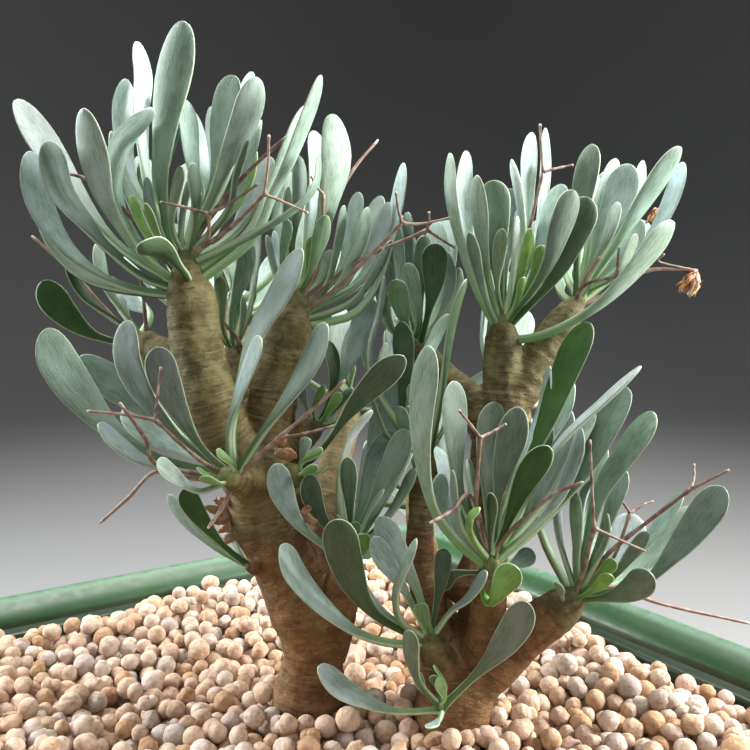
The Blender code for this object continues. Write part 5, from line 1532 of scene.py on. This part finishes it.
def bark_flake(shape, foot, tip, wide, draw):
    """A crumpled scrap of bark, half let go."""
    form, faces = ball_form(FLAKE_CELLS)
    way = tip - foot
    length = np.linalg.norm(way)
    way /= length
    up = np.cross(way, (0.1, 1.0, 0.2))
    up /= np.linalg.norm(up)
    out = np.cross(up, way)
    waves = draw.normal(0, 1, (9, 3)) * (2.0 + 1.3 * np.arange(9))[:, None]
    crumple = sum(np.sin(form @ wave + draw.uniform(0, ROUND)) / (1 + k / 4) for k, wave in enumerate(waves))
    form = form * (1 + 0.13 * crumple)[:, None]
    fold = 0.5 * np.sin(form[:, 0] * draw.uniform(2, 4) + draw.uniform(0, ROUND))
    thin = form[:, 2] * 0.3 + fold
    middle = (foot + tip) / 2
    points = middle + form[:, :1] * way * length * 0.62 + form[:, 1:2] * up * wide + thin[:, None] * out
    tone = linear(*FLAKE_TONES[draw.integers(len(FLAKE_TONES))])
    shape.add(points, faces, tone=tone, grain=points * 2 + draw.uniform(0, 30))


# Clay balls

BALL_RADIUS = 2.12
BALL_SPREAD = 0.26
BALL_LIMITS = (1.6, 2.8)
BALL_PITCH = 4.25
LAYER_DEPTH = 3.5
LAYERS = 3
ROUNDS = 60
# How far a ball sinks in each round, how far past its own radius it looks for neighbours, and every how many
# rounds it looks anew
SINK = 0.08
NEIGHBOURS = 3.4
NEW_NEIGHBOURS = 6
# How far the balls' outer edge lies inside the pot's side, and how round its corners are
BALL_MARGIN = 12.2
BALL_CORNER = 9.0
# How far the balls may lie into a trunk's side
POST_SLACK = 0.3
# How far a ball may start from its place in the rows, sideways and up, so that no rows are left
STRAY = (2.6, 2.6, 1.2)
# A slow bend of the rows: how far it reaches, and how long its waves are
BEND = 3.0
BEND_WAVE = 15.0
# How far the fill rises towards the pot's walls, and where the rise starts and ends, from the middle
BANK = 5.4
BANK_FROM = 34.0
BANK_TO = 70.0
# How many layers' worth of balls are fine ones, and in how many pieces
TOP_BALLS = 1.6
TOP_PIECES = 4


def bank(points):
    """How much higher the fill lies here than beside the trunks."""
    out = np.abs(points[:, :2]).max(axis=1)
    return BANK * ease((out - BANK_FROM) / (BANK_TO - BANK_FROM))


def ball_places():
    """The balls' middles in the part's frame, in mm, and radii, settled by pushing apart and sinking."""
    draw = np.random.default_rng(11)
    half = POT_HALF - BALL_MARGIN
    lines = np.arange(-half + 2, half - 1, BALL_PITCH)
    points = []
    for layer in range(LAYERS):
        grid = np.array([(x, y, BALL_LEVEL - LAYER_DEPTH * layer) for x in lines for y in lines])
        grid[:, :2] += (layer % 2) * BALL_PITCH / 2
        grid[:, :2] += BEND * np.sin(grid[:, 1::-1] / BEND_WAVE + layer)
        points.append(grid + draw.uniform(-1, 1, grid.shape) * STRAY)
    points = np.concatenate(points)
    points[:, 2] += bank(points)
    radii = np.clip(draw.normal(BALL_RADIUS, BALL_SPREAD, len(points)), *BALL_LIMITS)
    posts = list(trunk_posts())
    for step in range(ROUNDS):
        if step % NEW_NEIGHBOURS == 0:
            first, second = neighbours(points, radii).T
        points[:, 2] -= SINK
        way = points[second] - points[first]
        far = np.maximum(np.linalg.norm(way, axis=1), 1e-6)
        push = np.clip(radii[first] + radii[second] - far, 0, None) * 0.5
        move = way / far[:, None] * push[:, None] * 0.9
        np.add.at(points, first, -move)
        np.add.at(points, second, move)
        floor = BALL_LEVEL - LAYER_DEPTH * LAYERS + bank(points)
        points[:, 2] = np.maximum(points[:, 2], floor)
        for post, radius in posts:
            away = points[:, :2] - post
            far = np.linalg.norm(away, axis=1)
            short = np.clip(radius + radii - far, 0, None)
            points[:, :2] += away / np.maximum(far, 1e-6)[:, None] * short[:, None]
        points[:, :2] = kept_inside(points[:, :2], half - radii)
    return points, radii, draw


def neighbours(points, radii):
    """Pairs of balls that may touch, as rows of two numbers."""
    tree = tree_of(points)
    near = [tree.find_range(point, radius + NEIGHBOURS) for point, radius in zip(points, radii)]
    return np.array([(i, j) for i, found in enumerate(near) for _, j, _ in found if j > i])


def trunk_posts():
    """The trunks where they pass the balls, in the part's frame."""
    for stem in (TRUNK_LEFT[0], TRUNK_RIGHT[0]):
        x, y, away, radius = stem[0]
        yield placed(rows_of([seen(x, y, away)]))[0][:2] * 1000, radius - POST_SLACK


def kept_inside(points, half):
    """Points moved back inside a rounded square."""
    inner = half - BALL_CORNER
    core = np.clip(points, -inner[:, None], inner[:, None])
    off = points - core
    far = np.linalg.norm(off, axis=1)
    back = off / np.maximum(far, 1e-6)[:, None] * BALL_CORNER
    return core + np.where((far > BALL_CORNER)[:, None], back, off)


def ball_form(cells):
    """A unit ball's points and faces, as a cube's faces of so many cells a side drawn onto the sphere."""
    shaped = bmesh.new()
    bmesh.ops.create_cube(shaped, size=2)
    bmesh.ops.subdivide_edges(shaped, edges=shaped.edges[:], cuts=cells - 1, use_grid_fill=True)
    points = np.array([tuple(v.co) for v in shaped.verts])
    points = np.tan(points * math.pi / 4.6)
    points /= np.linalg.norm(points, axis=1)[:, None]
    faces = [tuple(v.index for v in f.verts) for f in shaped.faces]
    shaped.free()
    return points, faces


BALL_TONES = (
    (198, 172, 150), (202, 176, 154), (192, 164, 140), (206, 186, 168), (192, 162, 136), (204, 180, 160),
    (198, 170, 152), (190, 178, 166), (210, 192, 178), (182, 148, 118), (184, 168, 158), (202, 174, 150),
)
FINE_CELLS = 4
PLAIN_CELLS = 2
TWINS = 0.2
# The shares of balls that are lumpy and creased, or those and the uneven ones, and how lumpy each kind is
CREASED = 0.2
UNEVEN = 0.5
LUMPS = (0.085, 0.045, 0.02)


def ball_surface(form, radius, draw):
    """One ball, squashed a little, swollen by a few broad waves, and creased if it dried unevenly."""
    waves = draw.normal(0, 1, (7, 3)) * (1.6 + 0.9 * np.arange(7))[:, None]
    kind = draw.random()
    lumpy = LUMPS[0 if kind < CREASED else 1 if kind < UNEVEN else 2]
    swell = sum(np.sin(form @ wave + draw.uniform(0, ROUND)) / (1 + 0.3 * k) for k, wave in enumerate(waves))
    swell = swell * lumpy
    if kind < CREASED:
        swell = swell - 0.08 * np.abs(np.sin(form @ (waves[3] * 1.3) + 1.0))
    squash = 1 + draw.normal(0, 0.045, 3)
    return form * (1 + swell)[:, None] * squash * radius


def add_ball(shape, form, middle, radius, tone, draw):
    """One ball laid in the shape at its middle."""
    points, faces = form
    ball = ball_surface(points, radius, draw)
    shape.add(ball + middle, faces, tone=tone, grain=ball + draw.uniform(0, 60, 3))


def make_balls(paint):
    """The clay balls: the upper ones fine and a little uneven, the lower ones plain, in a few pieces."""
    points, radii, draw = ball_places()
    seated = unplaced(points / 1000)
    fine, plain = ball_form(FINE_CELLS), ball_form(PLAIN_CELLS)
    shapes = {}
    order = np.argsort(points[:, 1])
    depth = points[:, 2] - bank(points) - BALL_LEVEL
    top = depth > np.quantile(depth, 1 - TOP_BALLS / LAYERS)
    for rank, i in enumerate(order):
        form = fine if top[i] else plain
        key = f"clay_balls_{rank * TOP_PIECES // len(order)}" if top[i] else "clay_balls_low"
        tone = np.array(linear(*BALL_TONES[draw.integers(len(BALL_TONES))])) * draw.uniform(0.88, 1.06)
        shape = shapes.setdefault(key, Shape())
        add_ball(shape, form, seated[i], radii[i], tone, draw)
        if top[i] and draw.random() < TWINS:
            turn = draw.uniform(0, ROUND)
            aside = np.array([math.cos(turn), math.sin(turn), draw.uniform(-0.3, 0.3)]) * radii[i] * 0.85
            add_ball(shape, form, seated[i] + aside, radii[i] * draw.uniform(0.7, 0.9), tone, draw)
    made = [shape.piece(key, paint, "clay_balls") for key, shape in sorted(shapes.items())]
    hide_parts("clay_balls")


# Leaf tones, partly the leaves' own and partly painted light and shade, and the leaves that differ from the
# usual grey-green, by the tip's place in the photograph

USUAL = (132, 148, 140)
# Painted light: the frosted and pale tones are leaves in the light, paler also for their bloom
FROSTED_AND_LIT = (184, 198, 196)
PALE = (158, 174, 169)
# Painted shade: the shaded, deep and vivid tones are leaves in shade
SHADED = (104, 118, 107)
DEEP = (74, 90, 68)
VIVID = (54, 84, 36)
YOUNG = (120, 156, 86)
TONES = {
    FROSTED_AND_LIT: (
        (152, 108), (140, 43), (128, 80), (261, 120), (403, 163), (315, 131), (275, 231), (574, 384),
        (549, 366), (634, 514), (606, 446), (450, 153), (467, 151), (530, 133), (545, 128), (511, 160),
        (517, 216), (618, 160),
    ),
    PALE: (
        (84, 108), (18, 99), (257, 77), (321, 75), (306, 106), (250, 72), (332, 114), (358, 192),
        (368, 207), (371, 410), (367, 443), (372, 298), (281, 545), (378, 517), (372, 538), (449, 314),
        (385, 275), (364, 335), (430, 346), (641, 366), (594, 412), (580, 427), (477, 175), (630, 164),
        (681, 147), (682, 162), (644, 161), (617, 202), (640, 219), (599, 178), (674, 222),
    ),
    SHADED: (
        (47, 141), (232, 75), (209, 108), (192, 163), (247, 140), (379, 196), (300, 156), (47, 328),
        (128, 320), (157, 347), (302, 249), (327, 324), (406, 429), (391, 431), (415, 468), (300, 380),
        (257, 215), (527, 602), (412, 631), (425, 235), (447, 252), (453, 381), (519, 407), (627, 387),
        (496, 402), (551, 427), (534, 552), (724, 487), (652, 574), (647, 531), (494, 180), (574, 190),
        (592, 144),
    ),
    DEEP: (
        (140, 243), (145, 150), (38, 208), (288, 186), (309, 474), (347, 457), (328, 341), (404, 356),
        (66, 262), (338, 519), (444, 548), (401, 321), (466, 279), (435, 243), (458, 268), (492, 493),
        (440, 588), (588, 197),
    ),
    VIVID: (
        (283, 229), (42, 281), (183, 489), (549, 446), (588, 322),
    ),
    YOUNG: (
        (254, 150), (146, 203), (131, 196), (312, 236), (360, 534), (511, 566), (478, 518),
        (615, 560), (610, 574), (530, 228), (542, 245), (523, 277),
    ),
}


def tone_of(key):
    """A leaf's colour, varied a little from its neighbours'."""
    draw = random.Random("tone" + str(key))
    colour = next((tone for tone, keys in TONES.items() if key in keys), USUAL)
    return tuple(c * draw.uniform(0.94, 1.06) for c in linear(*colour))


# Leaves that only the scene has, in each rosette's heart: how many of a kind, length, width, rise and tries
HEART_LEAVES = (
    (4, (13.0, 21.0), (3.4, 5.2), (1.0, 1.3), 30),
    (7, (5.5, 11.0), (2.2, 3.4), (0.9, 1.4), 24),
)
OPEN_HEARTS = (
    "low_left", "mid_notch", "mid_twin", "shoulder", "trunk_tuft", "foot", "low_mid", "mid_low",
    "front_right", "low_right",
)
BARE_HEARTS = ("trunk_tuft",)
HEART_TONES = ((122, 140, 118), (108, 138, 84))
HEART_ROOM = 0.55
HEART_PLACES = (0.35, 0.6, 0.8, 0.98)


def heart_leaves(name, shape):
    """Small young leaves drawn by seed about the bud, each clear of those already there."""
    if name in BARE_HEARTS:
        return
    rule = random.Random("heart" + name)
    for kind, (count, lengths, widths, rises, tries) in enumerate(HEART_LEAVES):
        if kind == 0 and name in OPEN_HEARTS:
            continue
        tree = shape.tree()
        made = 0
        for step in range(tries):
            if made == count:
                break
            width = rule.uniform(*widths)
            turn = step * NEXT_TURN + rule.uniform(-0.3, 0.3)
            leaf = far_leaf(name, turn, rule.uniform(*rises), rule.uniform(*lengths), width)
            spots = spread(smooth(leaf["knots"], 41), HEART_PLACES)
            if min(tree.find_nearest(spot)[3] for spot in spots) < width * 0.3 + HEART_ROOM:
                continue
            leaf["thick"] = LEAF_THICK * (0.35 + 0.05 * width)
            leaf["key"] = (name, kind, step)
            tone = linear(*HEART_TONES[kind])
            fine_leaf(shape, leaf, tuple(c * rule.uniform(0.9, 1.1) for c in tone))
            tree = shape.tree()
            made += 1


def make_leaves(trees, paint):
    """A piece for each rosette, with the leaves of its solid and the small ones of its heart."""
    for name, tree in trees.items():
        shape = Shape()
        for leaf in standing_leaves(name, tree):
            fine_leaf(shape, leaf, tone_of(leaf["key"]))
        heart_leaves(name, shape)
        shape.piece("rosette_" + name, paint, "leaf", ("leaves_" + name,))


# Stage, light and camera

WORLD_LIGHT = 0.25
WORLD_TONE = (0.93, 0.96, 1.0, 1)
# Soft lights as (name, place in the viewer's frame in mm, side in mm, power in W, colour)
LIGHTS = (
    ("key", (60, 150, 720), 420, 9.5, (1.0, 0.99, 0.97)),
    ("left", (-500, 90, 320), 240, 7.0, (0.93, 0.97, 1.0)),
    ("right", (520, 20, 280), 220, 10.5, (1.0, 0.99, 0.97)),
    ("front", (-30, -480, 260), 420, 0.7, (1.0, 1.0, 1.0)),
)
LIT_POINT = (0, 0, 60)
# The floor in metres: how far its flat part reaches, the radius of its curve up, the backdrop's top, and how
# far it lies under the pot
FLOOR_REACH = 1.2
FLOOR_CURVE = 0.9
BACKDROP_TOP = 2.4
FLOOR_GAP = 0.0002
FLOOR_GREY = (0.22, 0.22, 0.22)
FLOOR_SIDES = 48
FILM_WIDTH = 36.0


def area_light(name, place, size, power, colour):
    """A soft square light at a place in the viewer's frame, in millimetres, turned to the object."""
    light = bpy.data.lights.new(name, "AREA")
    light.size = size / 1000
    light.energy = power
    light.color = colour
    made = bpy.data.objects.new(name, light)
    bpy.context.scene.collection.objects.link(made)
    spot, target = placed(rows_of([place, LIT_POINT]))
    made.location = spot
    made.rotation_euler = (Vector(target) - Vector(spot)).to_track_quat("-Z", "Y").to_euler()


def make_floor():
    """A pale floor that curves up into a backdrop on every side, far from the object."""
    rings = [(FLOOR_REACH / 2, 0.0), (FLOOR_REACH, 0.0)]
    for t in np.linspace(0.1, math.pi / 2, 12):
        rings.append((FLOOR_REACH + FLOOR_CURVE * math.sin(t), FLOOR_CURVE - FLOOR_CURVE * math.cos(t)))
    rings.append((FLOOR_REACH + FLOOR_CURVE, BACKDROP_TOP))
    turns = np.arange(FLOOR_SIDES) * 2 * math.pi / FLOOR_SIDES
    points = [(r * math.cos(t), r * math.sin(t), z) for r, z in rings for t in turns] + [(0, 0, 0)]
    faces = []
    for j in range(FLOOR_SIDES):
        k = (j + 1) % FLOOR_SIDES
        faces.append((len(points) - 1, j, k))
        for low in range(0, (len(rings) - 1) * FLOOR_SIDES, FLOOR_SIDES):
            faces.append((low + j, low + FLOOR_SIDES + j, low + FLOOR_SIDES + k, low + k))
    floor = mesh_object("floor", points, faces)
    floor.data.shade_smooth()
    floor.location = (0, 0, cad_box[0][2] - FLOOR_GAP)
    paint = Paint("pale_floor", Base_Color=FLOOR_GREY, Roughness=0.9, Specular_IOR_Level=0.2)
    floor.data.materials.append(paint.made)


def make_light():
    """Even light all round and four soft lights, shown as the camera sees them."""
    world = bpy.data.worlds.new("studio")
    world.use_nodes = True
    background = world.node_tree.nodes["Background"].inputs
    background["Color"].default_value = WORLD_TONE
    background["Strength"].default_value = WORLD_LIGHT
    bpy.context.scene.world = world
    bpy.context.scene.view_settings.view_transform = "Standard"
    for light in LIGHTS:
        area_light(*light)


def make_camera():
    """A camera where the photograph was taken from, as wide as its frame."""
    camera = bpy.data.cameras.new("camera")
    camera.sensor_fit = "HORIZONTAL"
    camera.sensor_width = FILM_WIDTH
    camera.lens = FILM_WIDTH * FOCAL / (2 * CENTRE)
    camera.clip_start = 0.01
    made = bpy.data.objects.new("camera", camera)
    made.location = placed(rows_of([EYE]))[0]
    made.rotation_euler = (math.pi / 2 - PITCH, 0, VIEW_TURN)
    bpy.context.scene.collection.objects.link(made)
    bpy.context.scene.camera = made


trees = {name: corner_tree(name) for name in [*BUDS, *FAR_BUDS]}
make_leaves(trees, leaf_paint())
bark = bark_paint()
make_trunk("trunk_left", bark)
make_trunk("trunk_right", bark)
dry = stalk_paint()
make_stalks(trees, dry)
make_flakes(dry)
make_balls(ball_paint())
make_pot(pot_paint())
make_floor()
make_light()
make_camera()
